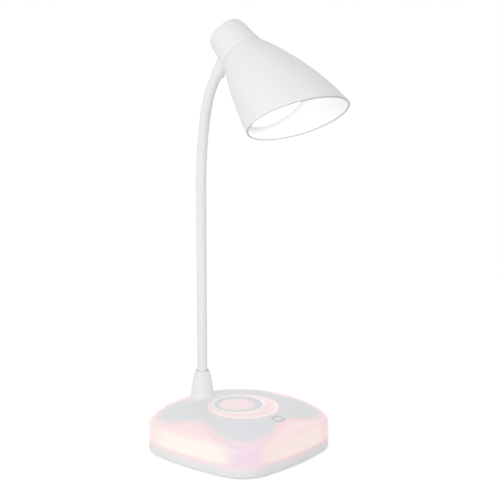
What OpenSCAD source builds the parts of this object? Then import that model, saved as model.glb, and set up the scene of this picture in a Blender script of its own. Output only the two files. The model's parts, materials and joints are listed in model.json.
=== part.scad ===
// Rechargeable desk lamp: a pillow-shaped base that glows at its sides, a flexible neck and a
// bell-shaped shade with an oblique mouth.
// Origin: centre of the underside. +X points to the touch key in front, +Z is up. Millimetres.

/* [Base shell] */
// Width of the base across the middles of two sides
base_w = 142.2; // [134:0.1:156]
// Radius of the plan's corners
corner_r = 31.3; // [27:0.1:36]
// How far each side bows outwards
side_bow = 10.8; // [8:0.1:14]
// Height of the parting line between the bottom cover and the light band
skirt_h = 11.5; // [11:0.1:15]
// Height of the dome at its centre
dome_h = 42.3; // [40:0.1:47]
// How much lower the dome is at the middle of a side
dome_fall = 8.8; // [7:0.1:10]
// Rounding between the side wall and the dome
edge_r = 5; // [3:0.1:6]
// Rounding of the lowest edge
foot_r = 2.4; // [1.5:0.1:3]
// Wall of the translucent light band
band_t = 2.4; // [1.8:0.1:3]
// Wall of the top cover
cover_t = 1.8; // [1.4:0.1:2.2]
// Floor of the bottom cover
floor_t = 2.5; // [2:0.1:3.5]
// Gap between the bottom cover and the table
foot_gap = 1; // [0.6:0.1:1.4]

/* [Lobes of the top cover] */
// How far the cover draws in at the middle of a side
lobe_inset = 16.6; // [13:0.1:20]
// Distance of a lobe's tip from the rounded edge
lobe_gap = 0.8; // [0.4:0.1:3]
// Sharpness of the lobes
lobe_shape = 0.72; // [0:0.01:1.5]
// Width of the land that carries the cover
land_w = 5; // [3.5:0.1:6]

/* [Dish] */
// Outer radius of the colour ring
ring_r = 32.4; // [30:0.1:34]
// Centre of the colour ring in front of the base's centre
ring_x = 5; // [4:0.1:6]
// Radius of the dish inside the ring
dish_r = 22.4; // [21:0.1:24]
// Centre of the dish
dish_x = -0.6; // [-1.5:0.1:0.5]
// Radius of the glowing lens in the dish
lens_r = 17.4; // [15:0.1:18.4]
// Centre of the lens
lens_x = -4.6; // [-5:0.1:-3.5]
// Height of the ring's inner lip over the dome
lip_h = 0.7; // [0.3:0.1:1.2]
// Depth of the dish below its lip
dish_depth = 1.9; // [1:0.1:2.4]
// Radius of the foam contact under the touch key
foam_r = 2; // [1.5:0.1:2.5]

/* [Inside the base] */
// Radius of the anti-slip pad
pad_r = 50; // [40:0.5:56]
// Thickness of the anti-slip pad
pad_t = 1.5; // [1.2:0.1:2]
// Radius of the steel ballast plate
ballast_r = 44; // [36:0.5:46]
// Thickness of the steel ballast plate
ballast_t = 4; // [3:0.1:4.5]
// Centre of the ballast in front of the base's centre
ballast_x = 14; // [12:0.1:16]
// Diameter of the battery cell
cell_d = 18.4; // [17:0.1:18.6]
// Length of the battery cell
cell_l = 65; // [50:0.5:68]
// Radius of the mood light board
mood_r = 40; // [38:0.1:41]
// Height of the mood light board's underside
mood_z = 28.4; // [28:0.1:30]
// Thickness of the circuit boards
pcb_t = 1.6; // [1:0.1:2]
// Distance of the base screws from the base's centre
screw_d = 62; // [58:0.1:64]

/* [Neck] */
// Distance of the neck behind the base's centre
neck_back = 45; // [43:0.1:47]
// Diameter of the neck's sleeve
sleeve_d = 9.4; // [9:0.1:11]
// Wall of the neck's sleeve
sleeve_t = 0.8; // [0.6:0.1:1]
// Height of the socket's top
socket_h = 66.5; // [60:0.5:75]
// Diameter of the socket's top
socket_d = 13.9; // [13.5:0.1:15]
// Radius of the socket's foot on the dome
foot_reach = 17; // [16:0.1:17]
// Length of one link of the neck
link_l = 27.6; // [25:0.1:30]
// How far the seventh and the eighth link each turn forward
low_turn = 3.6; // [0:0.1:8]
// How far the ninth link turns forward
mid_turn = 7.6; // [0:0.1:12]
// How far the tenth link turns forward
top_turn = 18.2; // [6:0.1:24]
// Diameter of the links' balls
ball_d = 5.8; // [5.4:0.1:6]

/* [Head] */
// Diameter of the ferrule at the neck's upper end
ferrule_d = 12; // [11.8:0.1:13]
// Distance from the ferrule's lower end to the shade's axis
ferrule_reach = 36.5; // [34:0.1:40]
// How far behind the crease the ferrule meets the shade's axis
entry_back = 13; // [12:0.1:14]
// Dip of the shade's axis below the horizontal
shade_dip = 40.5; // [30:0.5:60]
// Turn of the bell in its rear cap
shade_turn = 31.3; // [0:0.1:45]
// Length of the rear cap
cap_l = 28; // [26.5:0.1:32]
// Radius of the rear cap at its closed end
cap_rear_r = 17.2; // [17:0.1:18.5]
// Radius of the cap and the bell at the crease
crease_r = 20.1; // [19.8:0.1:21]
// Radius that the bell widens to
bell_r = 45.5; // [43:0.1:48]
// Length over which the bell widens
bell_l = 105; // [101:0.5:112]
// Where the mouth's plane cuts the axis, from the crease
mouth_z = 80.4; // [76:0.1:84]
// Tilt of the mouth's plane
mouth_tilt = 21.3; // [16:0.1:23]
// Wall of the bell
bell_t = 1.7; // [1.4:0.1:2.2]
// Wall of the rear cap
cap_t = 1.9; // [1.6:0.1:2.2]
// Height of the diffuser's dome
lens_rise = 8; // [4:0.1:10]

/* [Hidden] */
$fn = 64;

// General fits
fit = 0.15;      // parts that seat in each other
turn_gap = 0.08; // a shaft that turns in its bore
run_gap = 0.3;   // faces that slide past each other
eps = 0.01;
big = 400;

// Plan of the base: four bowed sides and four corner arcs that run into each other
around = 96;
half_w = base_w / 2;
side_r = (half_w * half_w + side_bow * side_bow) / (2 * side_bow);
side_c = half_w - side_r;
corner_t = (side_c + sqrt(2 * pow(side_r - corner_r, 2) - side_c * side_c)) / 2;
corner_c = corner_t * sqrt(2);
tangent_a = atan2(corner_t, corner_t - side_c);

// Dome of the base
dome_pow = 3.2;
dome_steps = 20;

// Heights in the base
cover_floor = foot_gap + floor_t;
tongue_h = 3;
tongue_in = band_t / 2 + fit;
ballast_top = cover_floor + ballast_t;
mood_top = mood_z + pcb_t;
step_h = cover_t + fit;

// Lobes
lobe_tip = rim(45, edge_r) - lobe_gap;
lobe_valley = half_w - lobe_inset;
lobe_mean = (lobe_tip + lobe_valley) / 2 + lobe_shape;
lobe_wave = (lobe_tip - lobe_valley) / 2;
key_x = lobe_valley - land_w - run_gap - foam_r; // just inside the land

// Dish
ring_seat_z = dome_z(ring_x + ring_r) - 1.6;
ring_step = 2;
collar_z = ring_seat_z - 2.2;
lip_z = dome_z(dish_r) + lip_h;
lip_w = 1.4;
flange_t = 1.2;
dish_floor_z = lip_z - dish_depth;

// Screws
screw_r = 1.5;
pilot_r = 1.2;
head_r = 2.8;
head_h = 1.6;
boss_r = 3.6;
small_screw_r = 1.1;
small_head_r = 2;
small_head_h = 1.2;
post_r = 3;
screw_bite = 7;
post_gap = 0.8;
post_y = ring_r + post_r + post_gap;
post_xy = [[ring_x, post_y], [ring_x, -post_y], [42, 18], [42, -18]];
post_bite = 5;
mood_x = 12;

// Battery cradle
cradle_t = 1;
cradle_gap = 0.2;
cell_z = ballast_top + cradle_t + cradle_gap + cell_d / 2;

// Control board and charge inlet at the back
ctrl_l = 27;
ctrl_w = 40;
ctrl_gap = 1.8;
ctrl_z = cover_floor + ctrl_gap;
inlet_w = 9;
inlet_h = 3.2;
inlet_l = 7.4;
inlet_t = 0.3;
inlet_z = ctrl_z + pcb_t + inlet_h / 2;
inlet_x = -half_w + 0.5;
ctrl_x = inlet_x + 4.2;

// Neck socket and root
neck_x = -neck_back;
socket_slope = 0.19;
flare_z = 51;
flare_top = 6.5;
flare_low = 6;
foot_edge = 0.35;
recess_r = 0.8;
recess_h = 2.5;
sleeve_r = sleeve_d / 2;
sleeve_in = sleeve_r - sleeve_t;
shoulder_z = 50;
flange_h = 2;
stub_r = 4;
boss_z = 34;
washer_r = 7.8;
washer_t = 1;
nut_r = 7;
nut_h = 4;
boss_w = 1;
stub_end = boss_z - washer_t - nut_h - 2;

// Neck links: six straight ones, then four that turn forward
joints = 10;
bend_fn = 360;
first_joint = socket_h + 5.5;
link_turn = [for (k = [1:joints]) k < 7 ? 0 : k < 9 ? low_turn : k < 10 ? mid_turn : top_turn];
ball_r = ball_d / 2;
ball_gap = 0.1;
cup_r = sleeve_in - 0.2;
cup_lip = 1.6;
cup_lip_r = cup_r - 0.35;
cup_h = 4.5;
core_r = 3.4;
lead_r = 1.1;
waist_r = 1.6;
waist_h = 3;
seam = 0.5; // overlap of the sections of one link
cuff = 0.2; // how much narrower the sleeve is inside the ferrule

// Head
end_turn = lean(joints + 1);
axis_dir = [cos(shade_dip), 0, -sin(shade_dip)];
neck_dir = [sin(end_turn), 0, cos(end_turn)];
head_pos = joint_at(joints + 1) + ferrule_reach * neck_dir + entry_back * axis_dir;
ferrule_bore = 4;
head_stub_r = 3.4;
pad_reach = 14.2;
head_pad_r = 5;
head_pad_h = 8;
stub_seat = 4;
head_nut_r = 5.4;
head_nut_h = 3;

// Cap and bell
cap_round = 4.5;
cap_edge = 0.7;
crease_gap = 0.4;
spigot_r = 17.4;
spigot_in = 14.4;
cap_lip = 2.6;
cap_bore = spigot_r + turn_gap;
spigot_l = crease_gap + cap_lip + run_gap;
spigot_mid = (spigot_r + spigot_in) / 2;
turn_ring_t = 1.2;
turn_ring_r = cap_bore + 0.5;
ring_screw_r = 0.7;
ring_head_r = 1.4;
ring_head_h = 0.6;
bell_pow = 1.9;
bell_steps = 22;
bell_end = mouth_z + bell_r * tan(mouth_tilt) + bell_t;
bell_floor = 2;

// Light unit in the bell
rib_t = 1.5;
board_rib_z = 31.5;
led_board_z = board_rib_z + rib_t;
led_board_t = 1.5;
led_front = led_board_z + led_board_t;
led_screw_r = 0.8;
led_head_r = 1.7;
led_boss_r = 2.2;
led_boss_l = 3;
led_boss_gap = 0.5;
led_screw_d = bell_in(board_rib_z - led_boss_l) - led_boss_gap - led_boss_r;
diffuser_rib_z = 48.5;
diffuser_z = diffuser_rib_z + rib_t;
diffuser_flange = 1.5;
diffuser_land = 2.4;
diffuser_wall = 1.6;
diffuser_rim = 5;
diffuser_r = bell_in(diffuser_z) - diffuser_land;
reflector_t = 1.2;
ring_t = 2;

// Distance of a plan angle from the nearest side's middle
function fold(q) = abs((q + 405) % 90 - 45);

// Plan angle at which a side's arc meets a corner's arc, for an outline drawn in by d
function split(d) = atan2((side_r - d) * sin(tangent_a), side_c + (side_r - d) * cos(tangent_a));

// Distance from the centre to the outline drawn in by d, at the plan angle q
function rim(q, d) = let (f = fold(q), g = 45 - f)
    f < split(d)
        ? side_c * cos(f) + sqrt(pow(side_r - d, 2) - pow(side_c * sin(f), 2))
        : corner_c * cos(g) + sqrt(pow(corner_r - d, 2) - pow(corner_c * sin(g), 2));

// Height of the dome at the distance r from the centre, and its slope there
function dome_z(r) = dome_h - dome_fall * pow(r / half_w, dome_pow);
function dome_slope(r) = atan(dome_pow * dome_fall * pow(r / half_w, dome_pow) / r);

// Outline of the top cover
function lobe(q) = lobe_mean - lobe_wave * cos(4 * q) - lobe_shape * cos(8 * q);

// Section of the light band at the plan angle q, as radius and height, counted from the
// parting line up the outside, over the edge to the cover's step and back inside
function band_section(q) =
    let (a = dome_slope(rim(q, edge_r)),
         centre = dome_z(rim(q, edge_r)) - edge_r / cos(a),
         start = rim(q, edge_r * (1 - sin(a))),
         tip = lobe(q),
         land = tip - land_w,
         inner = rim(q, band_t + edge_r / 2),
         under = step_h + band_t)
    concat(
        [[rim(q, 0), skirt_h]],
        [for (k = [0:4]) let (u = k / 4 * (90 - a)) [rim(q, edge_r * (1 - cos(u))), centre + edge_r * sin(u)]],
        [for (k = [1:3]) let (r = start + (tip - start) * k / 3) [r, dome_z(r)]],
        [[tip, dome_z(tip) - step_h], [land, dome_z(land) - step_h], [land, dome_z(land) - under]],
        [[inner, dome_z(inner) - under], [rim(q, band_t), dome_z(inner) - under - edge_r / 2]],
        [[rim(q, band_t), skirt_h + tongue_h + fit], [rim(q, tongue_in - fit), skirt_h + tongue_h + fit]],
        [[rim(q, tongue_in - fit), skirt_h]]
    );

// Section of the bottom cover, from the pad's recess over the outside to the floor
function pan_section(q) =
    concat(
        [[pad_r + fit, pad_t], [pad_r + fit, foot_gap]],
        [for (k = [0:3]) [rim(q, foot_r * (1 - sin(30 * k))), foot_gap + foot_r * (1 - cos(30 * k))]],
        [[rim(q, 0), skirt_h], [rim(q, tongue_in), skirt_h], [rim(q, tongue_in), skirt_h + tongue_h]],
        [[rim(q, band_t), skirt_h + tongue_h], [rim(q, band_t), cover_floor]]
    );

// Lean of the neck from the vertical at its joint k, and that joint's place
function lean(k) = k <= 1 ? 0 : lean(k - 1) + link_turn[k - 2];
function chord(turn) = turn == 0 ? link_l : link_l * sin(turn / 2) / (turn * PI / 360);
function joint_at(k) =
    k <= 1 ? [neck_x, 0, first_joint]
    : let (turn = link_turn[k - 2], a = lean(k - 1) + turn / 2)
      joint_at(k - 1) + chord(turn) * [sin(a), 0, cos(a)];

// Radius of the bell's outside and inside at the distance z from the crease
function bell_rest(z) = max(0, 1 - z / bell_l);
function bell_out(z) = crease_r + (bell_r - crease_r) * (1 - pow(bell_rest(z), bell_pow));
function bell_tan(z) = (bell_r - crease_r) * bell_pow / bell_l * pow(bell_rest(z), bell_pow - 1);
function bell_in(z) = bell_out(z) - bell_t * sqrt(1 + pow(bell_tan(z), 2));

// Skin through the sections of a closed form: rows run around, columns along the section.
// closed joins the section's ends, as on a ring; otherwise its two ends get flat caps.
module skin(rows, closed) {
    n = len(rows);
    m = len(rows[0]);
    last = closed ? m - 1 : m - 2;
    quads = [for (i = [0:n - 1]) for (j = [0:last])
        [i * m + j, i * m + (j + 1) % m, ((i + 1) % n) * m + (j + 1) % m, ((i + 1) % n) * m + j]];
    sides = [for (f = quads) each [[f[0], f[1], f[2]], [f[0], f[2], f[3]]]];
    caps = closed ? [] : [[for (i = [0:n - 1]) i * m], [for (i = [n - 1:-1:0]) i * m + m - 1]];
    polyhedron(points = [for (row = rows) each row], faces = concat(sides, caps), convexity = 8);
}

function row(section, q) = [for (p = section) [p[0] * cos(q), p[0] * sin(q), p[1]]];
function angles() = [for (i = [0:around - 1]) i * 360 / around];
function socket_angles() = [for (i = [0:47]) i * 7.5];

// Solid under the dome, raised by lift, down to the height low
module dome_solid(lift, low) {
    far = half_w * 1.3;
    rotate_extrude()
        polygon(concat(
            [[0, low], [far, low]],
            [for (k = [dome_steps:-1:0]) let (r = far * k / dome_steps) [r, dome_z(r) + lift]]
        ));
}

module tube(ro, ri, h) {
    difference() {
        cylinder(r = ro, h = h);
        translate([0, 0, -1]) cylinder(r = ri, h = h + 2);
    }
}

module hex(r, h) {
    cylinder(r = r, h = h, $fn = 6);
}

// Screw that points up, with its head's underside at the origin
module screw(shank_r, head_r, head_h, length) {
    translate([0, 0, -head_h]) difference() {
        cylinder(r1 = head_r * 0.86, r2 = head_r, h = head_h);
        for (a = [0, 90]) rotate([0, 0, a])
            translate([-head_r * 0.55, -head_r * 0.12, -eps])
                cube([head_r * 1.1, head_r * 0.24, head_h * 0.5]);
    }
    cylinder(r = shank_r, h = length);
}

// Places its children at joint k of the neck, +Z along the neck
module on_joint(k) {
    translate(joint_at(k)) rotate([0, lean(k), 0]) children();
}

// Places its children at the neck's upper end
module on_end() {
    on_joint(joints + 1) children();
}

// Rod along a link that turns forward, between two lengths from the link's joint
module link_rod(turn, from, to, r) {
    radius = turn == 0 ? 0 : link_l / (turn * PI / 180);
    a = from / link_l * turn;
    b = to / link_l * turn;
    if (turn == 0) translate([0, 0, from]) cylinder(r = r, h = to - from);
    else translate([radius, 0, 0]) rotate([90, 0, 0]) rotate([0, 0, 180 - b])
        rotate_extrude(angle = b - a, $fn = bend_fn) translate([radius, 0]) circle(r = r);
}

// Places its children in the head, +Z along the shade's axis towards the mouth
module in_head() {
    translate(head_pos) rotate([0, 90 + shade_dip, 0]) children();
}

// The same, turned so that +X points to the mouth's longest lip
module in_bell() {
    in_head() rotate([0, 0, 180 - shade_turn]) children();
}

// Places its children at three places round the axis
module at_thirds(d) {
    for (a = [0:120:240]) rotate([0, 0, a]) translate([d, 0, 0]) children();
}

module at_corners(d) {
    for (q = [45:90:315]) rotate([0, 0, q]) translate([d, 0, 0]) rotate([0, 0, -q]) children();
}

// ---------------------------------------------------------------- base

module anti_slip_pad() color("dimgray") {
    chamfer = 0.4;
    cylinder(r1 = pad_r - chamfer, r2 = pad_r, h = chamfer);
    translate([0, 0, chamfer]) cylinder(r = pad_r, h = pad_t - chamfer);
}

module inlet_shape(grow, length) {
    span = inlet_w - inlet_h;
    height = inlet_h + 2 * grow;
    rotate([0, 90, 0]) {
        for (y = [-span / 2, span / 2]) translate([0, y, 0]) cylinder(d = height, h = length);
        translate([-height / 2, -span / 2, 0]) cube([height, span, length]);
    }
}

module bottom_cover() color("gainsboro") {
    difference() {
        skin([for (q = angles()) row(pan_section(q), q)], false);
        at_corners(screw_d) {
            cylinder(r = screw_r + fit, h = big);
            cylinder(r = head_r + fit, h = foot_gap + head_h);
        }
        translate([-half_w - 5, 0, inlet_z]) inlet_shape(run_gap, 10);
    }
}

module base_screws() color("silver") {
    at_corners(screw_d)
        translate([0, 0, foot_gap + head_h]) screw(pilot_r, head_r, head_h, screw_bite + floor_t);
}

module ballast_plate() color("slategray") {
    translate([ballast_x, 0, cover_floor]) cylinder(r = ballast_r, h = ballast_t);
}

module battery_cradle() color("whitesmoke") {
    outer_r = cell_d / 2 + cradle_gap + cradle_t;
    wall_h = cell_d * 0.62;
    length = cell_l + 2 * (cradle_gap + cradle_t);
    translate([ballast_x, 0, ballast_top]) difference() {
        translate([-outer_r, -length / 2, 0]) cube([2 * outer_r, length, wall_h]);
        translate([0, -cell_l / 2 - cradle_gap, cell_z - ballast_top]) rotate([-90, 0, 0])
            cylinder(r = cell_d / 2 + cradle_gap, h = cell_l + 2 * cradle_gap);
        for (y = [-cell_l / 4, cell_l / 4])
            translate([-big / 2, y - cell_l / 14, wall_h * 0.6]) cube([big, cell_l / 7, big]);
    }
}

module battery_cell() color("mediumseagreen") {
    cap_d = cell_d * 0.4;
    tip = 0.8;
    translate([ballast_x, -cell_l / 2, cell_z]) rotate([-90, 0, 0]) {
        cylinder(d = cell_d, h = cell_l - tip);
        cylinder(d = cap_d, h = cell_l);
    }
}

module control_board() color("darkgreen") {
    foot_w = 4;
    translate([ctrl_x, -ctrl_w / 2, ctrl_z]) difference() {
        union() {
            cube([ctrl_l, ctrl_w, pcb_t]);
            for (x = [1, ctrl_l - foot_w - 1]) for (y = [1, ctrl_w - foot_w - 1])
                translate([x, y, -ctrl_gap]) cube([foot_w, foot_w, ctrl_gap + eps]);
            translate([ctrl_l * 0.45, ctrl_w * 0.12, pcb_t - eps]) cube([9, 9, 1.6]);
            translate([ctrl_l * 0.5, ctrl_w * 0.55, pcb_t - eps]) cube([6, 5, 1.2]);
            translate([ctrl_l * 0.3, ctrl_w * 0.84, pcb_t - eps]) cylinder(d = 5, h = 6);
            translate([ctrl_l * 0.62, ctrl_w * 0.84, pcb_t - eps]) cylinder(d = 5, h = 6);
        }
        translate([ctrl_l - 3, ctrl_w / 2, -big / 2]) cylinder(r = 1.2, h = big);
    }
}

module charge_inlet() color("silver") {
    translate([inlet_x, 0, inlet_z]) {
        difference() {
            inlet_shape(0, inlet_l);
            translate([-eps, 0, 0]) inlet_shape(-inlet_t, inlet_l - 1.4);
        }
        tongue_w = inlet_w - inlet_h;
        translate([0.8, -tongue_w / 2, -0.35]) cube([inlet_l - 1.6, tongue_w, 0.7]);
    }
}

// The land that carries the cover gives way to the boss under the neck
module light_band() color("mistyrose") {
    difference() {
        skin([for (q = angles()) row(band_section(q), q)], true);
        cylinder_through(neck_x, 0, washer_r + boss_w + fit);
    }
}

module cover_holes() {
    translate([ring_x, 0, ring_seat_z]) cylinder(r = ring_r + fit, h = big);
    cylinder_through(ring_x, 0, ring_r - ring_step);
    cylinder_through(neck_x, 0, stub_r + fit);
    for (p = post_xy) translate([p[0], p[1], 0])
        cylinder(r = small_screw_r - 0.1, h = mood_top + post_bite + 2);
    at_corners(screw_d) cylinder(r = pilot_r, h = foot_gap + head_h + screw_bite + floor_t + 1);
}

module cylinder_through(x, y, r) {
    translate([x, y, -big / 2]) cylinder(r = r, h = big);
}

module top_cover() color("gainsboro") {
    outline = [for (q = angles()) (lobe(q) - fit) * [cos(q), sin(q)]];
    difference() {
        union() {
            difference() {
                intersection() {
                    dome_solid(0, 0);
                    linear_extrude(height = big) polygon(outline);
                }
                dome_solid(-cover_t, -1);
            }
            intersection() {
                dome_solid(-cover_t / 2, 0);
                union() {
                    translate([ring_x, 0, collar_z]) cylinder(r = ring_r + 2.4, h = big);
                    translate([neck_x, 0, boss_z]) cylinder(r = washer_r + boss_w, h = big);
                    for (p = post_xy) translate([p[0], p[1], mood_top]) cylinder(r = post_r, h = big);
                    at_corners(screw_d) translate([0, 0, cover_floor]) cylinder(r = boss_r, h = big);
                }
            }
        }
        cover_holes();
    }
}

module mood_board() color("honeydew") {
    difference() {
        translate([mood_x, 0, mood_z]) cylinder(r = mood_r, h = pcb_t);
        for (p = post_xy) cylinder_through(p[0], p[1], small_screw_r + fit);
    }
}

module mood_leds() color("lightyellow") {
    chip = [3.5, 2.8, 1.9];
    edge_gap = 0.5;
    outer = 10;
    inner = 6;
    translate([mood_x, 0, mood_top]) {
        led_circle(outer, mood_r - chip[0] - edge_gap, 180 / outer, chip);
        led_circle(inner, mood_r * 0.45, 0, chip);
    }
}

// Chips on a circle, the first one at the angle start
module led_circle(count, reach, start, chip) {
    for (i = [0:count - 1]) rotate([0, 0, start + i * 360 / count])
        translate([reach, -chip[1] / 2, 0]) cube(chip);
}

module board_screws() color("silver") {
    for (p = post_xy) translate([p[0], p[1], mood_z])
        screw(small_screw_r - 0.1, small_head_r, small_head_h, pcb_t + post_bite);
}

module touch_contact() color("dimgray") {
    squeeze = 0.05;
    intersection() {
        translate([key_x, 0, mood_top]) cylinder(r = foam_r, h = big);
        dome_solid(-cover_t - squeeze, 0);
    }
}

module color_ring() color("lightpink") {
    crown = 0.35;
    difference() {
        union() {
            intersection() {
                translate([ring_x, 0, ring_seat_z]) cylinder(r = ring_r, h = big);
                dome_solid(crown, 0);
            }
            translate([dish_x, 0, ring_seat_z]) {
                cylinder(r = dish_r + lip_w + 1, h = dome_z(dish_r) + crown - ring_seat_z);
                translate([0, 0, dome_z(dish_r) - ring_seat_z])
                    cylinder(r1 = dish_r + lip_w + 1, r2 = dish_r + lip_w / 2, h = lip_h);
            }
        }
        cylinder_through(dish_x, 0, dish_r + fit);
    }
}

module touch_dish() color("lightgray") {
    slope_w = 3.4;
    bottom = ring_seat_z - flange_t;
    difference() {
        translate([dish_x, 0, 0]) rotate_extrude() polygon([
            [0, bottom], [dish_r + 1.5, bottom], [dish_r + 1.5, ring_seat_z], [dish_r, ring_seat_z],
            [dish_r, lip_z - 0.2], [dish_r - 0.5, lip_z], [dish_r - slope_w * 0.55, lip_z - dish_depth * 0.7],
            [dish_r - slope_w, dish_floor_z], [0, dish_floor_z]
        ]);
        cylinder_through(lens_x, 0, lens_r + fit);
    }
}

module center_lens() color("pink") {
    crown = 0.5;
    flange_z = ring_seat_z - 2 * flange_t;
    translate([lens_x, 0, 0]) rotate_extrude() polygon(concat(
        [[0, flange_z], [lens_r + 1, flange_z], [lens_r + 1, flange_z + flange_t], [lens_r, flange_z + flange_t]],
        [for (k = [0:6]) let (r = lens_r * (1 - k / 6)) [r, dish_floor_z + crown * (1 - pow(r / lens_r, 2))]]
    ));
}

// ---------------------------------------------------------------- neck

// Section of the neck's socket at the angle q round the neck, as distance and height: straight
// up from under the dome, in along a curve that leaves the dome smoothly, then up the cone
function socket_section(q) =
    let (slope = (over_dome(foot_reach + 1, q) - over_dome(foot_reach - 1, q)) / 2,
         foot = [foot_reach, over_dome(foot_reach, q) + foot_edge],
         low = foot - flare_low * [1, slope],
         neck = [cone_r(flare_z), flare_z],
         high = neck + flare_top * [socket_slope, -1])
    concat(
        [[foot_reach, boss_z]],
        [for (k = [0:8]) let (t = k / 8)
            pow(1 - t, 3) * foot + 3 * pow(1 - t, 2) * t * low + 3 * (1 - t) * t * t * high + pow(t, 3) * neck],
        [[cone_r(socket_h - 0.6), socket_h - 0.6], [cone_r(socket_h) - 0.6, socket_h]]
    );
function cone_r(z) = socket_d / 2 + socket_slope * (socket_h - z);
function over_dome(d, q) = dome_z(norm([neck_x + d * cos(q), d * sin(q)]));

module neck_socket() color("white") {
    column_r = stub_r + 3;
    roof_z = shoulder_z - 2.5;
    difference() {
        translate([neck_x, 0, 0]) difference() {
            skin([for (q = socket_angles()) row(socket_section(q), q)], false);
            cylinder(r = stub_r + fit, h = big);
            translate([0, 0, shoulder_z]) cylinder(r = sleeve_r + fit, h = big);
            translate([0, 0, socket_h - recess_h]) cylinder(r = sleeve_r + recess_r, h = big);
            difference() {
                cylinder(r1 = foot_reach - 2, r2 = column_r + 0.8, h = roof_z);
                cylinder(r = column_r, h = big);
            }
        }
        dome_solid(0, -1);
    }
}

module cup_body() {
    translate([0, 0, -cup_lip]) cylinder(r1 = cup_lip_r, r2 = cup_r, h = cup_lip);
    cylinder(r = cup_r, h = cup_h);
}

module cup_cavity() {
    sphere(r = ball_r + ball_gap);
}

module neck_core(k) color("lightsteelblue") {
    turn = link_turn[k - 1];
    difference() {
        union() {
            on_joint(k) {
                cup_body();
                link_rod(turn, cup_h - seam, link_l - waist_h, core_r);
                link_rod(turn, link_l - waist_h - seam, link_l - seam, waist_r);
            }
            on_joint(k + 1) sphere(r = ball_r);
        }
        on_joint(k) {
            cup_cavity();
            link_rod(turn, -cup_lip - 1, link_l + ball_r + 1, lead_r);
        }
    }
}

module neck_sleeve(k) color("white") {
    on_joint(k) sleeve_bend(link_turn[k - 1]);
}

module sleeve_bend(turn) {
    difference() {
        link_rod(turn, 0, link_l, sleeve_r);
        link_rod(turn, -1, link_l + 1, sleeve_in);
    }
}

module sleeve_root() color("white") {
    base_z = shoulder_z + flange_h;
    translate([neck_x, 0, base_z]) tube(sleeve_r, sleeve_in, first_joint - base_z);
}

// The last sleeve ends in a narrower cuff inside the ferrule
module sleeve_top() color("white") {
    neck_sleeve(joints);
    on_end() translate([0, 0, -seam])
        tube(sleeve_r - cuff, sleeve_in + cuff / 2, seam + ferrule_bore);
}

module neck_root() color("lightsteelblue") {
    translate([neck_x, 0, 0]) difference() {
        union() {
            translate([0, 0, stub_end]) cylinder(r = stub_r, h = shoulder_z - stub_end + 1);
            translate([0, 0, shoulder_z]) cylinder(r = sleeve_r, h = flange_h);
            translate([0, 0, shoulder_z]) cylinder(r = core_r, h = first_joint - waist_h - shoulder_z);
            translate([0, 0, shoulder_z]) cylinder(r = waist_r, h = first_joint - shoulder_z);
            translate([0, 0, first_joint]) sphere(r = ball_r);
        }
        cylinder(r = lead_r, h = big);
    }
}

module neck_washer() color("silver") {
    translate([neck_x, 0, boss_z - washer_t]) tube(washer_r, stub_r + fit, washer_t);
}

module neck_nut() color("silver") {
    translate([neck_x, 0, boss_z - washer_t - nut_h]) difference() {
        hex(nut_r, nut_h);
        translate([0, 0, -1]) cylinder(r = stub_r + 0.02, h = nut_h + 2);
    }
}

module core_top() color("lightsteelblue") {
    difference() {
        union() {
            on_joint(joints) {
                cup_body();
                link_rod(top_turn, cup_h - seam, link_l + seam, core_r);
            }
            on_end() cylinder(r = cup_r - 0.1, h = ferrule_bore);
        }
        on_joint(joints) {
            cup_cavity();
            link_rod(top_turn, -cup_lip - 1, link_l + seam, lead_r);
        }
        on_end() cylinder(r = lead_r + 0.2, h = big);
    }
}

// ---------------------------------------------------------------- head

// Outside of the rear cap, along the shade's axis from its closed end to the crease
module cap_body(grow) {
    taper = (crease_r - cap_rear_r) / cap_l;
    rotate_extrude() polygon(concat(
        [[0, -cap_l - grow]],
        [for (k = [0:5]) let (a = -90 + 18 * k)
            [cap_rear_r - cap_round + (cap_round + grow) * cos(a), -cap_l + cap_round + (cap_round + grow) * sin(a)]],
        [[crease_r - taper * crease_gap + grow, -crease_gap - cap_edge],
         [crease_r - cap_edge + grow, -crease_gap], [0, -crease_gap]]
    ));
}

module ferrule() color("white") {
    chamfer = 0.5;
    glue = 0.05;
    stub_foot = stub_seat + 1;
    difference() {
        on_end() {
            cylinder(r1 = ferrule_d / 2 - chamfer, r2 = ferrule_d / 2, h = chamfer);
            translate([0, 0, chamfer]) cylinder(d = ferrule_d, h = ferrule_reach - pad_reach - stub_seat);
        }
        on_end() {
            translate([0, 0, -1]) cylinder(r = sleeve_r - cuff + glue, h = ferrule_bore + 1);
            cylinder(r = lead_r, h = big);
        }
        in_head() cap_body(0.03);
    }
    on_end() translate([0, 0, ferrule_reach - pad_reach - stub_foot])
        tube(head_stub_r, lead_r, stub_foot + head_nut_h + 1);
}

module rear_cap() color("white") {
    difference() {
        union() {
            difference() {
                in_head() cap_body(0);
                in_head() cap_hollow();
            }
            intersection() {
                in_head() cap_body(-cap_t / 2);
                on_end() translate([0, 0, ferrule_reach - pad_reach - head_pad_h])
                    cylinder(r = head_pad_r, h = head_pad_h);
            }
        }
        on_end() cylinder(r = head_stub_r + fit, h = ferrule_reach);
    }
}

module cap_hollow() {
    front_r = turn_ring_r + run_gap;
    inner_rear = cap_rear_r - cap_t;
    rotate_extrude() polygon([
        [0, -cap_l + cap_t], [inner_rear - cap_round * 0.55, -cap_l + cap_t],
        [inner_rear - 0.6, -cap_l + cap_t + cap_round * 0.5], [inner_rear + 0.2, -cap_l + cap_t + cap_round],
        [front_r, -crease_gap - cap_lip - turn_ring_t - 1], [front_r, -crease_gap - cap_lip],
        [cap_bore, -crease_gap - cap_lip], [cap_bore, 1], [0, 1]
    ]);
}

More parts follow.
